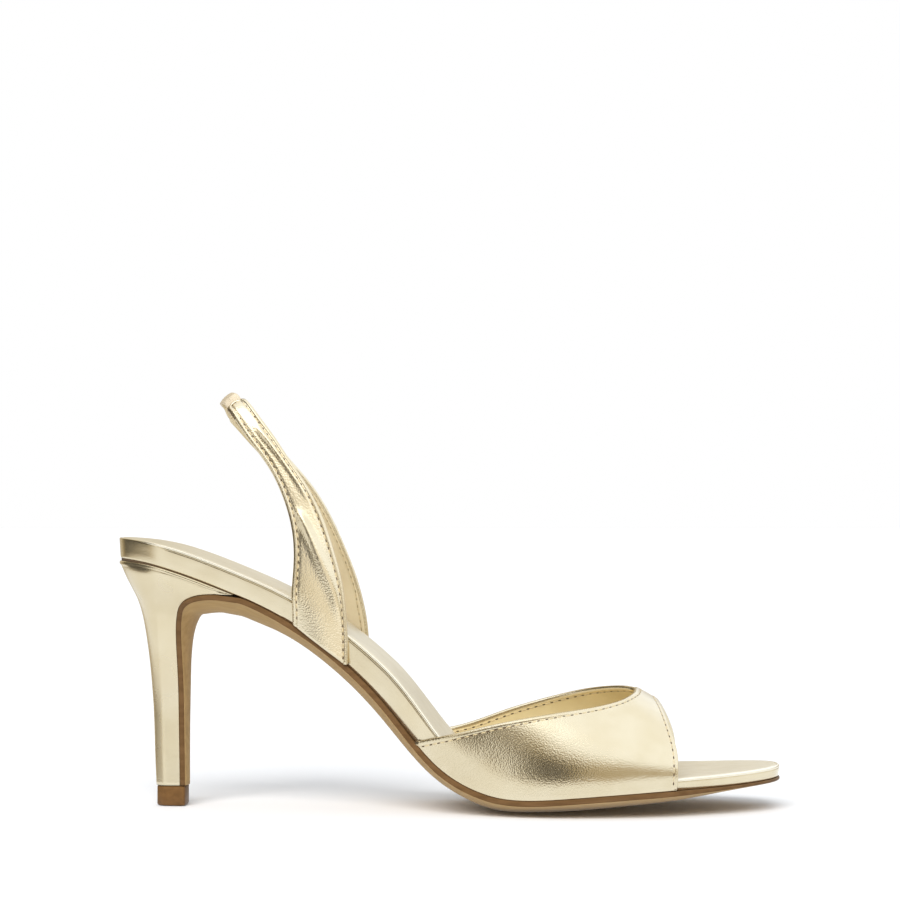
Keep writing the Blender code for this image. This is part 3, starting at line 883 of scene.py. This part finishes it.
VAMP_EDGES = [
    # name, line of the grid, the next one inwards, how far in its stitches run, how high its fold stands
    ("vamp_topline", 0, 1, 1.5, 0.14),
    ("vamp_front", -1, -2, 1.25, 0.03),
]
VAMP_PITCH = 2.8        # of the stitches
VAMP_TUCK = 0.35        # how far the vamp's foot tucks in under its fullest line
VAMP_LEAN = 0.8         # how far its sides lean in over the first part of their height
VAMP_LEAN_HIGH = 16.0
VAMP_POWER = 0.95       # its section is an ellipse of this power
VAMP_INSIDE = (150.0, 2.5, 0.0)     # a place that its outer side faces away from


def vamp_half(x, side, samples=90):
    """Section of the last on one side, from the sole up over the side to the crest."""
    edge_y = middle(x)[0] + side * (half_width(x)[0] + SIDE_GAP + VAMP_WALL)
    foot = seat(x)[0] + GAP
    wall_top = stack_top(x)[0] + SIDE_GAP
    crest_z = column(VAMP_SECTIONS, 1, x)[0]
    crest_y = column(VAMP_SECTIONS, 2, x)[0]
    angle = np.linspace(0, math.pi / 2, samples)
    y = crest_y + (edge_y - crest_y) * np.cos(angle) ** VAMP_POWER
    z = wall_top + (crest_z - wall_top) * np.sin(angle) ** VAMP_POWER
    y -= side * VAMP_LEAN * smooth((z - wall_top) / VAMP_LEAN_HIGH) * np.clip(np.cos(angle) * 2, 0, 1)
    return np.concatenate([[(edge_y - side * VAMP_TUCK, foot)], np.stack([y, z], 1)])


def throat_shares(side):
    """Share of the section at which the throat's edge crosses it, for a row of x."""
    xs = np.linspace(THROAT[0][0], THROAT[-1][0], 120)
    edge_z = column(THROAT, 1 if side < 0 else 2, xs) - EDGE_ROLL
    shares = []
    for x, z in zip(xs, edge_z):
        section = vamp_half(np.array([x]), side)
        length = path_length(section)
        at = np.interp(z, section[:, 1], length)
        shares.append(side * (1 - at / length[-1]))
    shares[-1] = 0.0
    return xs, np.array(shares)


def vamp_grid(around, deep):
    """Outer surface of the vamp, from the throat to the front edge and from sole to sole."""
    front = np.array(VAMP_FRONT)
    edges = {side: throat_shares(side) for side in (-1, 1)}
    grid = []
    for share in np.linspace(-1, 1, around + 1):
        side = -1 if share < 0 else 1
        xs, shares = edges[side]
        order = np.argsort(shares)
        back_x = np.interp(share, shares[order], xs[order])
        front_x = spline(front[:, 0], front[:, 1], share)[0] - EDGE_ROLL
        row = []
        for x in np.linspace(back_x, front_x, deep + 1):
            section = vamp_half(np.array([x]), side)
            length = path_length(section)
            at = (1 - abs(share)) * length[-1]
            row.append((x, np.interp(at, length, section[:, 0]), np.interp(at, length, section[:, 1])))
        grid.append(row)
    return np.array(grid)


def build_vamp(looks):
    grid = vamp_grid(96, 56)
    normals = grid_normals(grid, VAMP_INSIDE)
    shell("vamp_upper", grid, normals, VAMP_WALL, [looks["leather"], looks["lining"]], "vamp")
    for label, line, inner, inset, high in VAMP_EDGES:
        edge, ways = grid[:, line], normals[:, line]
        out = ways_out(edge, ways, np.gradient(edge, axis=0), grid[:, inner])
        tube(label + "_fold", edge, out, ways, fold_ring(inset * 0.75, VAMP_WALL, high), looks["leather"])
        row, row_normals = lay(grid, edge - out * inset, ways)
        sew(label, row[2:-2], row_normals[2:-2], VAMP_PITCH, VAMP_WALL, looks, "needle_hole_shade")


# Sling

BAND_CROWN = 0.6        # how far the band's middle stands up where it is widest
BAND_WIDEST = 17.0
BAND_STEPS = (0.0, 0.25, 0.5, 0.75, 1.0, 1.25, 1.5, 1.75, 2.1)      # of its lines in from each edge
BAND_MIDDLE = 14        # and how many lines lie from the last of them to the other side's
BAND_INSIDE = (60.0, 0.0, 0.0)      # a place that its outer side faces away from
STITCH_DIP = 0.16       # depth and half width of the dip along a strap's stitches
STITCH_DIP_WIDE = 0.4
STRAP_STEPS = 130
STRAP_END_ROUND = 0.012 # how far the corners of a strap's end draw back, as a share of the loop
STRAP_END_POWER = 2.5
STRAP_END_FAR = 0.018   # how far the straps reach past their solids, as a share of the loop
END_SHADE_LINE = 6.5          # half length of the dark tube of painted shadow round a strap's end, the shadow line between the strap and the elastic
END_SHADE_LINE_AFTER = 2.5    # how far it is shifted past the end's middle
END_SHADE_LINE_RADIUS = 0.17
END_SHADE_LINE_DEEP = 0.55
ELASTIC_LOW = 0.95      # how far the elastic lies under the straps' ends
ELASTIC_PROUD = 0.95    # and how far it stands out between them
ELASTIC_RISE = 0.014    # over this share of the loop
ELASTIC_CROWN = 0.3
ELASTIC_UNDER = 0.014   # how far its ends run on under the straps
ELASTIC_TRIM = 0.9      # how much narrower it is than the loop, on each side
ELASTIC_STEPS = 90
GATHER = 0.08           # depth of its gathers
STRAP_CREASES = [
    # from and to as a share of the loop and of the width, half width, height
    (0.380, 0.34, 0.235, 0.06, 0.17, 0.62),
    (0.215, 0.68, 0.050, 0.02, 0.15, 0.85),
]
CREASE_NEAR = 2.5       # the creases fade out over this distance from a strap's edge
STRAP_TWIST = 0.080     # the straps' front edges lie in, and their back edges out, by this share of the width
TWIST_START = 62.0      # height from which the twist comes in, and over how much height
TWIST_HIGH = 12.0
STRAP_STITCH = 1.15     # how far inwards of a strap's edge its stitches run
FOLD_WIDE = 0.8
FOLD_HIGH = 0.2
STRAP_PITCH = 2.6
EDGE_PITCH = 0.7        # distance between the points along a strap's edge


def band_edge_y(x, side):
    """Outer face of the sling where it lies on the insole's side."""
    at = np.array([x])
    return (middle(at) + side * (half_width(at) + SIDE_GAP + STRAP_WALL))[0]


def sling_rows():
    """Edge rows of the whole loop, from the lateral sole over the back to the medial sole."""
    back_x, back_z, front_x, front_z = SLING_ROOT
    foot_z = [seat(x)[0] + SIDE_GAP for x in SLING_FOOT]
    back_y, front_y = band_edge_y(back_x, -1), band_edge_y(front_x, -1)
    lateral = [
        (SLING_FOOT[0], back_y, foot_z[0], SLING_FOOT[1], front_y, foot_z[1]),
        (back_x, back_y, back_z, front_x, front_y, front_z),
    ]
    lateral.extend(SLING)
    medial = []
    for row in lateral:
        back_lean, front_lean = between(SLING_LEAN, 1, [row[2], row[5]])
        medial.append([row[0] + back_lean, -row[1], row[2], row[3] + front_lean, -row[4], row[5]])
    for side, rows in ((-1, lateral), (1, medial)):
        for k, row in enumerate(rows):
            wide = math.dist(row[:3], row[3:])
            twist = side * STRAP_TWIST * wide * np.clip((row[2] - TWIST_START) / TWIST_HIGH, 0, 1)
            rows[k] = [row[0], row[1] + twist, row[2], row[3], row[4] - twist, row[5]]
    for row in medial[:2]:
        row[1] = band_edge_y(row[0], 1)
        row[4] = band_edge_y(row[3], 1)
    medial[0][2] = seat(medial[0][0])[0] + SIDE_GAP
    medial[0][5] = seat(medial[0][3])[0] + SIDE_GAP
    return np.array(lateral + [SLING_BACK] + medial[::-1])


def sling_grid(start, end, steps, trim, profile, end_round=0.0):
    """Part of the loop's band, trimmed at its two long edges.

    profile gives the height of the surface at each distance from the band's edges, and end_round how far
    the ends of the band draw back at their corners, as a share of the loop.
    """
    rows = sling_rows()
    centre = (rows[:, :3] + rows[:, 3:]) / 2
    length = path_length(centre)
    length /= length[-1]
    fold = BAND_STEPS[-1]
    columns = [(step, 0.0) for step in BAND_STEPS[:-1]]
    columns += [(fold, share) for share in np.linspace(0, 1, BAND_MIDDLE)]
    columns += [(step, 1.0) for step in BAND_STEPS[-2::-1]]
    grid = []
    heights = []
    for column_index, (step, share) in enumerate(columns):
        across = column_index / (len(columns) - 1) * 2 - 1
        back = end_round * (1 - math.sqrt(1 - min(abs(across), 1.0) ** STRAP_END_POWER))
        first = start + back if start > 0 else start
        last = end - back if end < 1 else end
        at = np.linspace(first, last, steps + 1)
        edges = np.stack([spline(length, rows[:, k], at) for k in range(6)], 1)
        wide = np.linalg.norm(edges[:, 3:] - edges[:, :3], axis=1) - 2 * trim
        away = step + share * (wide - 2 * step) if share < 1 else wide - step
        part = ((trim + away) / (wide + 2 * trim))[:, None]
        grid.append(edges[:, 3:] * (1 - part) + edges[:, :3] * part)
        heights.append(profile(np.minimum(away, wide - away), wide, at, away / wide))
    grid = np.array(grid)
    return grid + grid_normals(grid, BAND_INSIDE) * np.array(heights)[..., None]


def strap_profile(creases):
    """Height of a strap: a dip along the stitches, a padded middle and soft creases."""
    def profile(near, wide, at, mix):
        padded = BAND_CROWN * (wide / BAND_WIDEST) ** 1.5 * np.sin(np.pi * np.clip(near / wide, 0, 0.5))
        dip = STITCH_DIP * bell(near - STRAP_STITCH, STITCH_DIP_WIDE)
        crease = np.zeros_like(at)
        for from_at, from_mix, to_at, to_mix, wide_mix, high in creases:
            along = (at - from_at) / (to_at - from_at)
            line = from_mix + (to_mix - from_mix) * along
            crease += high * bell(mix - line, wide_mix) * smooth(np.minimum(along, 1 - along) * 4 + 0.5)
        return padded - dip + crease * np.clip(near / CREASE_NEAR, 0, 1)
    return profile


def elastic_profile(near, wide, at, mix):
    """Height of the elastic's cover, which lies lower than the straps and is finely gathered."""
    gather = GATHER * np.sin(mix * 46.0 + 3.0 * np.sin(at * 260.0)) * np.clip(near / 0.8, 0, 1)
    rise = smooth((SLING_END / 2 - STRAP_END_FAR - np.abs(at - 0.5)) / ELASTIC_RISE)
    level = ELASTIC_PROUD * rise - ELASTIC_LOW * (1 - rise)
    return ELASTIC_CROWN * np.sin(np.pi * np.clip(near / wide, 0, 0.5)) + gather + level


def build_strap(name, start, end, side, creases, looks, replaced):
    grid = sling_grid(start, end, STRAP_STEPS, EDGE_ROLL, strap_profile(creases), STRAP_END_ROUND)
    normals = grid_normals(grid, BAND_INSIDE)
    shell(name, grid, normals, STRAP_WALL, [looks["leather"], looks["strap_lining"]], replaced)

    def border(values, inwards=0):
        """Values along the front edge, round the end at the ankle and back along the other edge."""
        turned = values if side < 0 else values[:, ::-1]
        return np.concatenate([turned[inwards], turned[1:-1, -1 - inwards], turned[-1 - inwards, ::-1]])

    edge = border(grid)
    inner = border(grid, 1)
    first, second = grid.shape[1] - 1, grid.shape[1] + grid.shape[0] - 2
    ankle = -1 if side < 0 else 0
    next_in = ankle - 1 if side < 0 else 1
    inner[first], inner[second] = grid[1, next_in], grid[-2, next_in]
    points, ways, inner = resample(edge, EDGE_PITCH, border(normals), inner)
    ways = unit(ways)
    out = ways_out(points, ways, np.gradient(points, axis=0), inner)
    tube(name + "_fold", points, out, ways, fold_ring(FOLD_WIDE, STRAP_WALL, FOLD_HIGH), looks["leather"])
    # a dark tube just outside and under the strap's end paints the shadow line between the strap and the
    # elastic
    end_at = path_length(grid[0])[-1] + path_length(grid[:, ankle])[-1] / 2 + END_SHADE_LINE_AFTER
    far = np.abs(path_length(points) - end_at) < END_SHADE_LINE
    seam = points + out * (EDGE_ROLL + 0.02) - ways * END_SHADE_LINE_DEEP
    tube(name + "_end_seam", seam[far], out[far], ways[far], circle(END_SHADE_LINE_RADIUS, 8), looks["seam"])
    row, row_normals = lay(grid, points - out * STRAP_STITCH, ways)
    sew(name, relaxed(row)[3:-3], relaxed(row_normals)[3:-3], STRAP_PITCH, STRAP_WALL, looks, "faint_hole_shade")


def relaxed(values, times=3):
    """Values along a path with their small kinks smoothed out."""
    for _ in range(times):
        values[1:-1] = (values[:-2] + 2 * values[1:-1] + values[2:]) / 4
    return values


def build_sling(looks):
    low = (1 - SLING_END) / 2
    high = (1 + SLING_END) / 2
    build_strap("lateral_sling", 0.0, low + STRAP_END_FAR, -1, STRAP_CREASES, looks, "strap_lateral")
    build_strap("medial_sling", high - STRAP_END_FAR, 1.0, 1, [], looks, "strap_medial")
    grid = sling_grid(low - ELASTIC_UNDER, high + ELASTIC_UNDER, ELASTIC_STEPS, ELASTIC_TRIM, elastic_profile)
    shell("elastic_cover", grid, grid_normals(grid, BAND_INSIDE), ELASTIC_WALL - 0.5,
          [looks["elastic"], looks["strap_lining"]], "back_elastic")


# Materials

def set_values(made, **values):
    for key, value in values.items():
        made.inputs[key.replace("_", " ")].default_value = value


def new_material(name, **values):
    """A material with the given values on its shader, its tree, its shader and the object's coordinates."""
    material = bpy.data.materials.new(name)
    material.use_nodes = True
    tree = material.node_tree
    shader = tree.nodes["Principled BSDF"]
    set_values(shader, **values)
    return material, tree, shader, tree.nodes.new("ShaderNodeTexCoord").outputs["Object"]


def node(tree, kind, **values):
    made = tree.nodes.new(kind)
    set_values(made, **values)
    return made


def noise(tree, place, scale, detail, roughness=0.5):
    made = node(tree, "ShaderNodeTexNoise", Scale=scale, Detail=detail, Roughness=roughness)
    tree.links.new(place, made.inputs["Vector"])
    return made.outputs["Fac"]


def ramp(tree, value, low, high, low_out=0.0, high_out=1.0):
    made = node(tree, "ShaderNodeMapRange", From_Min=low, From_Max=high, To_Min=low_out, To_Max=high_out)
    made.interpolation_type = "SMOOTHSTEP"
    tree.links.new(value, made.inputs["Value"])
    return made.outputs["Result"]


def mix_colour(tree, factor, first, second):
    made = tree.nodes.new("ShaderNodeMix")
    made.data_type = "RGBA"
    sockets = [s for s in made.inputs if s.type == "RGBA"]
    sockets[0].default_value = (*first, 1.0)
    sockets[1].default_value = (*second, 1.0)
    tree.links.new(factor, made.inputs["Factor"])
    return [s for s in made.outputs if s.type == "RGBA"][0]


def bump(tree, height, strength, distance, below=None):
    made = node(tree, "ShaderNodeBump", Strength=strength, Distance=distance)
    tree.links.new(height, made.inputs["Height"])
    if below is not None:
        tree.links.new(below, made.inputs["Normal"])
    return made.outputs["Normal"]


def mottle(tree, shader, light, deep, pattern, low, high):
    """Two close colours, mixed by a soft pattern."""
    tree.links.new(mix_colour(tree, ramp(tree, pattern, low, high), light, deep), shader.inputs["Base Color"])


def metal_leather(name, light, deep, metallic, rough, grain, crinkle, coat):
    """Foiled leather: two close golds, a fine pebbled grain, and crinkles in the foil."""
    material, tree, shader, place = new_material(
        name, Metallic=metallic, Coat_Weight=coat, Coat_Roughness=0.25)
    mottle(tree, shader, light, deep, noise(tree, place, 55.0, 4.0), 0.32, 0.7)
    spread = ramp(tree, noise(tree, place, 90.0, 2.0), 0.3, 0.7, rough - 0.02, rough + 0.02)
    tree.links.new(spread, shader.inputs["Roughness"])
    cells = node(tree, "ShaderNodeTexVoronoi", Scale=1850.0, Randomness=1.0)
    tree.links.new(place, cells.inputs["Vector"])
    pebbles = bump(tree, cells.outputs["Distance"], grain, -0.000045)
    soft = bump(tree, noise(tree, place, 700.0, 1.0), crinkle, 0.0001, pebbles)
    wave = bump(tree, noise(tree, place, 60.0, 1.0), 0.1, 0.002, soft)
    tree.links.new(wave, shader.inputs["Normal"])
    return material


def plain_leather(name, light, deep, rough, metallic, grain):
    """Lining or sock leather: soft mottled colour with a close grain."""
    material, tree, shader, place = new_material(name, Metallic=metallic)
    mottle(tree, shader, light, deep, noise(tree, place, 90.0, 5.0, 0.6), 0.3, 0.72)
    spread = ramp(tree, noise(tree, place, 300.0, 3.0), 0.3, 0.7, rough - 0.05, rough + 0.06)
    tree.links.new(spread, shader.inputs["Roughness"])
    fine = bump(tree, noise(tree, place, 900.0, 4.0, 0.6), grain, 0.0002)
    tree.links.new(fine, shader.inputs["Normal"])
    return material


def sole_material(name, light, deep, rough, streak):
    """Painted edge or buffed face of the outsole, with faint streaks along the shoe."""
    material, tree, shader, place = new_material(name, Roughness=rough, Specular_IOR_Level=0.15)
    stretch = node(tree, "ShaderNodeMapping", Scale=(streak, 1.0, 1.0))
    tree.links.new(place, stretch.inputs["Vector"])
    place = stretch.outputs["Vector"]
    mottle(tree, shader, light, deep, noise(tree, place, 500.0, 5.0, 0.6), 0.3, 0.72)
    fine = bump(tree, noise(tree, place, 1200.0, 3.0), 0.2, 0.00015)
    tree.links.new(fine, shader.inputs["Normal"])
    return material


def plain(name, colour, rough, metallic):
    material, tree, shader, place = new_material(name, Roughness=rough, Metallic=metallic)
    darker = tuple(c * 0.8 for c in colour)
    mottle(tree, shader, colour, darker, noise(tree, place, 1500.0, 2.0), 0.35, 0.65)
    return material


GOLD = (0.80, 0.70, 0.50)
GOLD_DEEP = (0.75, 0.64, 0.43)
METAL_LEATHERS = [
    # look, name, light, deep, metallic, roughness, grain, crinkle, coat
    ("leather", "gold_leather", GOLD, GOLD_DEEP, 0.95, 0.22, 0.8, 0.06, 0.08),
    ("insole_wrap", "gold_insole_wrap", GOLD, GOLD_DEEP, 0.94, 0.21, 0.12, 0.06, 0.06),
    ("heel_wrap", "gold_heel_wrap", GOLD, GOLD_DEEP, 0.94, 0.26, 0.2, 0.1, 0.08),
    # the bead's pale gold is brighter than the leather's, to paint the bright highlight line along the
    # insole's top edge
    ("bead", "gold_bead_painted_highlight", (0.94, 0.88, 0.72), (0.90, 0.82, 0.64), 0.85, 0.24, 0.1, 0.05, 0.2),
    ("elastic", "gold_elastic", (0.74, 0.63, 0.46), (0.68, 0.57, 0.40), 0.45, 0.45, 0.3, 0.15, 0.0),
]
PLAIN_LEATHERS = [
    # look, name, light, deep, roughness, metallic, grain
    ("sock", "cream_gold_sock", (0.73, 0.65, 0.48), (0.68, 0.60, 0.43), 0.40, 0.5, 0.15),
    ("lining", "tan_gold_lining", (0.87, 0.73, 0.42), (0.78, 0.64, 0.35), 0.5, 0.3, 0.25),
    ("strap_lining", "beige_strap_lining", (0.78, 0.67, 0.45), (0.70, 0.58, 0.37), 0.5, 0.3, 0.25),
]
SOLE_MATERIALS = [
    # look, name, light, deep, roughness, scale of the streaks along the shoe
    ("sole_edge", "dark_sole_edge", (0.15, 0.080, 0.031), (0.105, 0.054, 0.019), 0.45, 0.12),
    ("sole_face", "tan_sole_face", (0.43, 0.285, 0.122), (0.36, 0.23, 0.092), 0.62, 0.2),
    ("top_piece", "brown_top_piece", (0.16, 0.08, 0.027), (0.12, 0.06, 0.02), 0.5, 1.0),
]
PLAIN_MATERIALS = [
    # look, name, colour, roughness, metallic
    # dark colour of the heel ring and the strap ends' tubes: the glue edge's colour and painted shade of the
    # gaps
    ("seam", "dark_seam_painted_shade", (0.10, 0.06, 0.03), 0.7, 0.0),
    ("thread", "gold_thread", (0.70, 0.56, 0.32), 0.5, 0.2),
    # dark pits: painted shade of the needle holes, fainter on the straps' lining
    ("needle_hole_shade", "dark_needle_hole_shade", (0.10, 0.06, 0.028), 0.8, 0.0),
    ("faint_hole_shade", "faint_needle_hole_shade", (0.46, 0.36, 0.20), 0.8, 0.0),
]


def make_looks():
    looks = {}
    for make, rows in ((metal_leather, METAL_LEATHERS), (plain_leather, PLAIN_LEATHERS),
                       (sole_material, SOLE_MATERIALS), (plain, PLAIN_MATERIALS)):
        for look, *values in rows:
            looks[look] = make(*values)
    return looks


# Studio

FLOOR_HALF = 60.0
FLOOR_UNDER = 0.0002    # how far the floor lies under the shoe, in metres
FLOOR_COLOUR = (0.915, 0.92, 0.925, 1.0)
SUN_POWER = 3.1
SUN_ANGLE = 42
SUN_WAY = (0.1, 0.77, -0.64)


def build_floor():
    mesh = bpy.data.meshes.new("floor")
    corners = [(x * FLOOR_HALF, y * FLOOR_HALF, 0) for x, y in ((-1, -1), (1, -1), (1, 1), (-1, 1))]
    mesh.from_pydata(corners, [], [(0, 1, 2, 3)])
    floor = add_object("floor", mesh)
    floor.location.z = cad_box[0][2] - FLOOR_UNDER
    mesh.materials.append(new_material("pale_floor", Base_Color=FLOOR_COLOUR, Roughness=0.7,
                                       Specular_IOR_Level=0.2)[0])
    floor.visible_glossy = False


STUDIO_CARDS = [
    # azimuth from the lateral side to the toe, and elevation: from, to, soft edge, in degrees; level
    (-57.0, 200.0, 13.0, -95.0, -1.5, 4.5, 1.1),
    (-250.0, 250.0, 1.0, -95.0, -8.0, 3.5, 1.02),
    (-50.0, -27.8, 4.5, -95.0, 34.5, 8.0, 1.04),
    (0.0, 66.0, 6.0, -95.0, 60.0, 6.0, 0.50),
    (-50.0, 8.0, 8.0, 46.0, 75.0, 6.0, 1.7),
    (74.0, 150.0, 12.0, -95.0, 60.0, 8.0, 0.85),
    (-250.0, -132.0, 14.0, -95.0, 60.0, 8.0, 0.6),
    (150.0, 250.0, 14.0, -95.0, 60.0, 8.0, 0.75),
]
STUDIO_TOP = (31.0, 12.0, 1.25)     # elevation where the overhead light begins, its soft edge, and its level
STUDIO_TILT = 0.4                   # the overhead light comes lower on the toe's side, by this slope
STUDIO_TILT_END = 60.0              # and no further than this azimuth
STUDIO_DARK = 0.04
STUDIO_BRIGHT = 1.25
STUDIO_DARK_TINT = (1.0, 0.75, 0.30)
STUDIO_BRIGHT_TINT = (0.95, 1.0, 1.07)
ROOM_TINT = (0.98, 1.0, 1.035)
ROOM_LIGHT = 0.62                   # what the white room gives to surfaces that aren't glossy


def combine(tree, kind, first, second=None):
    made = tree.nodes.new("ShaderNodeMath")
    made.operation = kind
    for socket, value in zip(made.inputs, (first, second)):
        if isinstance(value, float):
            socket.default_value = value
        elif value is not None:
            tree.links.new(value, socket)
    return made.outputs["Value"]


def soft_band(tree, value, low, high, soft):
    """1 between two values and 0 outside them, with soft edges."""
    begins = ramp(tree, value, low - soft, low + soft)
    return combine(tree, "MULTIPLY", begins, ramp(tree, value, high - soft, high + soft, 1.0, 0.0))


def build_world():
    """White studio for the camera and the floor, and soft light cards that only reflections see."""
    world = bpy.data.worlds.new("studio")
    bpy.context.scene.world = world
    world.use_nodes = True
    tree = world.node_tree
    tree.nodes.clear()
    split = tree.nodes.new("ShaderNodeSeparateXYZ")
    tree.links.new(tree.nodes.new("ShaderNodeTexCoord").outputs["Generated"], split.inputs["Vector"])
    degrees = 180 / math.pi
    toward = combine(tree, "MULTIPLY", split.outputs["Y"], -1.0)
    azimuth = combine(tree, "MULTIPLY", combine(tree, "ARCTAN2", split.outputs["X"], toward), degrees)
    elevation = combine(tree, "MULTIPLY", combine(tree, "ARCSINE", split.outputs["Z"]), degrees)
    limited = combine(tree, "MINIMUM", combine(tree, "MAXIMUM", azimuth, -STUDIO_TILT_END), STUDIO_TILT_END)
    tilted = combine(tree, "ADD", elevation, combine(tree, "MULTIPLY", limited, STUDIO_TILT))
    begins, soft, level = STUDIO_TOP
    light = ramp(tree, tilted, begins - soft, begins + soft, STUDIO_DARK, level)
    for left, right, side_soft, low, high, rise_soft, level in STUDIO_CARDS:
        card = combine(tree, "MULTIPLY", soft_band(tree, azimuth, left, right, side_soft),
                       soft_band(tree, elevation, low, high, rise_soft))
        light = combine(tree, "MAXIMUM", light, combine(tree, "MULTIPLY", card, level))
    bright = ramp(tree, light, STUDIO_DARK, STUDIO_BRIGHT)
    seen = tree.nodes.new("ShaderNodeLightPath").outputs
    mixed = tree.nodes.new("ShaderNodeMixShader")
    tree.links.new(seen["Is Glossy Ray"], mixed.inputs["Fac"])
    room = mix_colour(tree, seen["Is Camera Ray"], ROOM_TINT, (1.0, 1.0, 1.0))
    room_light = ramp(tree, seen["Is Camera Ray"], 0.0, 1.0, ROOM_LIGHT, 1.0)
    cards = mix_colour(tree, bright, STUDIO_DARK_TINT, STUDIO_BRIGHT_TINT)
    for socket, colour, strength in ((1, room, room_light), (2, cards, light)):
        background = tree.nodes.new("ShaderNodeBackground")
        tree.links.new(colour, background.inputs["Color"])
        tree.links.new(strength, background.inputs["Strength"])
        tree.links.new(background.outputs["Background"], mixed.inputs[socket])
    output = tree.nodes.new("ShaderNodeOutputWorld")
    tree.links.new(mixed.outputs["Shader"], output.inputs["Surface"])


def turn_to(item, way):
    item.rotation_euler = Vector(way).to_track_quat("-Z", "Y").to_euler()


def direction(azimuth, elevation):
    """Way from the shoe, by the angle from the lateral side towards the toe and the angle up, in degrees."""
    turn, rise = math.radians(azimuth), math.radians(elevation)
    return Vector((math.sin(turn) * math.cos(rise), -math.cos(turn) * math.cos(rise), math.sin(rise)))


def add_sun():
    """Wide soft light from above the camera, which lays the shadow behind the shoe."""
    light = bpy.data.lights.new("soft_sun", "SUN")
    light.energy = SUN_POWER
    light.angle = math.radians(SUN_ANGLE)
    item = add_object("soft_sun", light)
    turn_to(item, SUN_WAY)
    item.visible_glossy = False


STRAP_LIGHTS = [
    # azimuth, elevation, width and height of the card in degrees, level
    (15.0, 12.0, 42.0, 46.0, 0.49),
    (-8.0, 55.0, 46.0, 34.0, 1.1),
]
STRAP_LIGHT_FAR = 0.8
STRAP_LIGHT_COLOUR = (0.95, 1.0, 1.08)
STRAP_LIGHT_AIM = (-0.048, -0.02, 0.095)


def add_strap_lights():
    """Soft cards that light the near strap alone, which would otherwise mirror the dark of the room."""
    receivers = bpy.data.collections.new("near_strap")
    for item in bpy.data.objects:
        if item.name.startswith("lateral_sling"):
            receivers.objects.link(item)
    for index, (azimuth, elevation, wide, high, level) in enumerate(STRAP_LIGHTS):
        light = bpy.data.lights.new("strap_card_%d" % index, "AREA")
        light.shape = "RECTANGLE"
        light.size = 2 * STRAP_LIGHT_FAR * math.tan(math.radians(wide / 2))
        light.size_y = 2 * STRAP_LIGHT_FAR * math.tan(math.radians(high / 2))
        light.energy = level * math.pi * light.size * light.size_y
        light.color = STRAP_LIGHT_COLOUR
        item = add_object("strap_card_%d" % index, light)
        way = direction(azimuth, elevation)
        item.location = Vector(STRAP_LIGHT_AIM) + way * STRAP_LIGHT_FAR
        turn_to(item, -way)
        item.visible_camera = False
        item.light_linking.receiver_collection = receivers


def build_camera():
    back = direction(CAMERA_YAW, CAMERA_RISE)
    data = bpy.data.cameras.new("camera")
    data.lens = LENS
    data.sensor_width = SENSOR
    camera = add_object("camera", data)
    camera.location = Vector(CAMERA_TARGET) + back * CAMERA_FAR
    turn_to(camera, -back)
    bpy.context.scene.camera = camera


def main():
    build_camera()
    looks = make_looks()
    build_footbed(looks)
    build_outsole(looks)
    build_heel(looks)
    build_top_piece(looks)
    build_vamp(looks)
    build_sling(looks)
    build_floor()
    build_world()
    add_sun()
    add_strap_lights()
    bpy.context.scene.view_settings.view_transform = "Standard"


main()
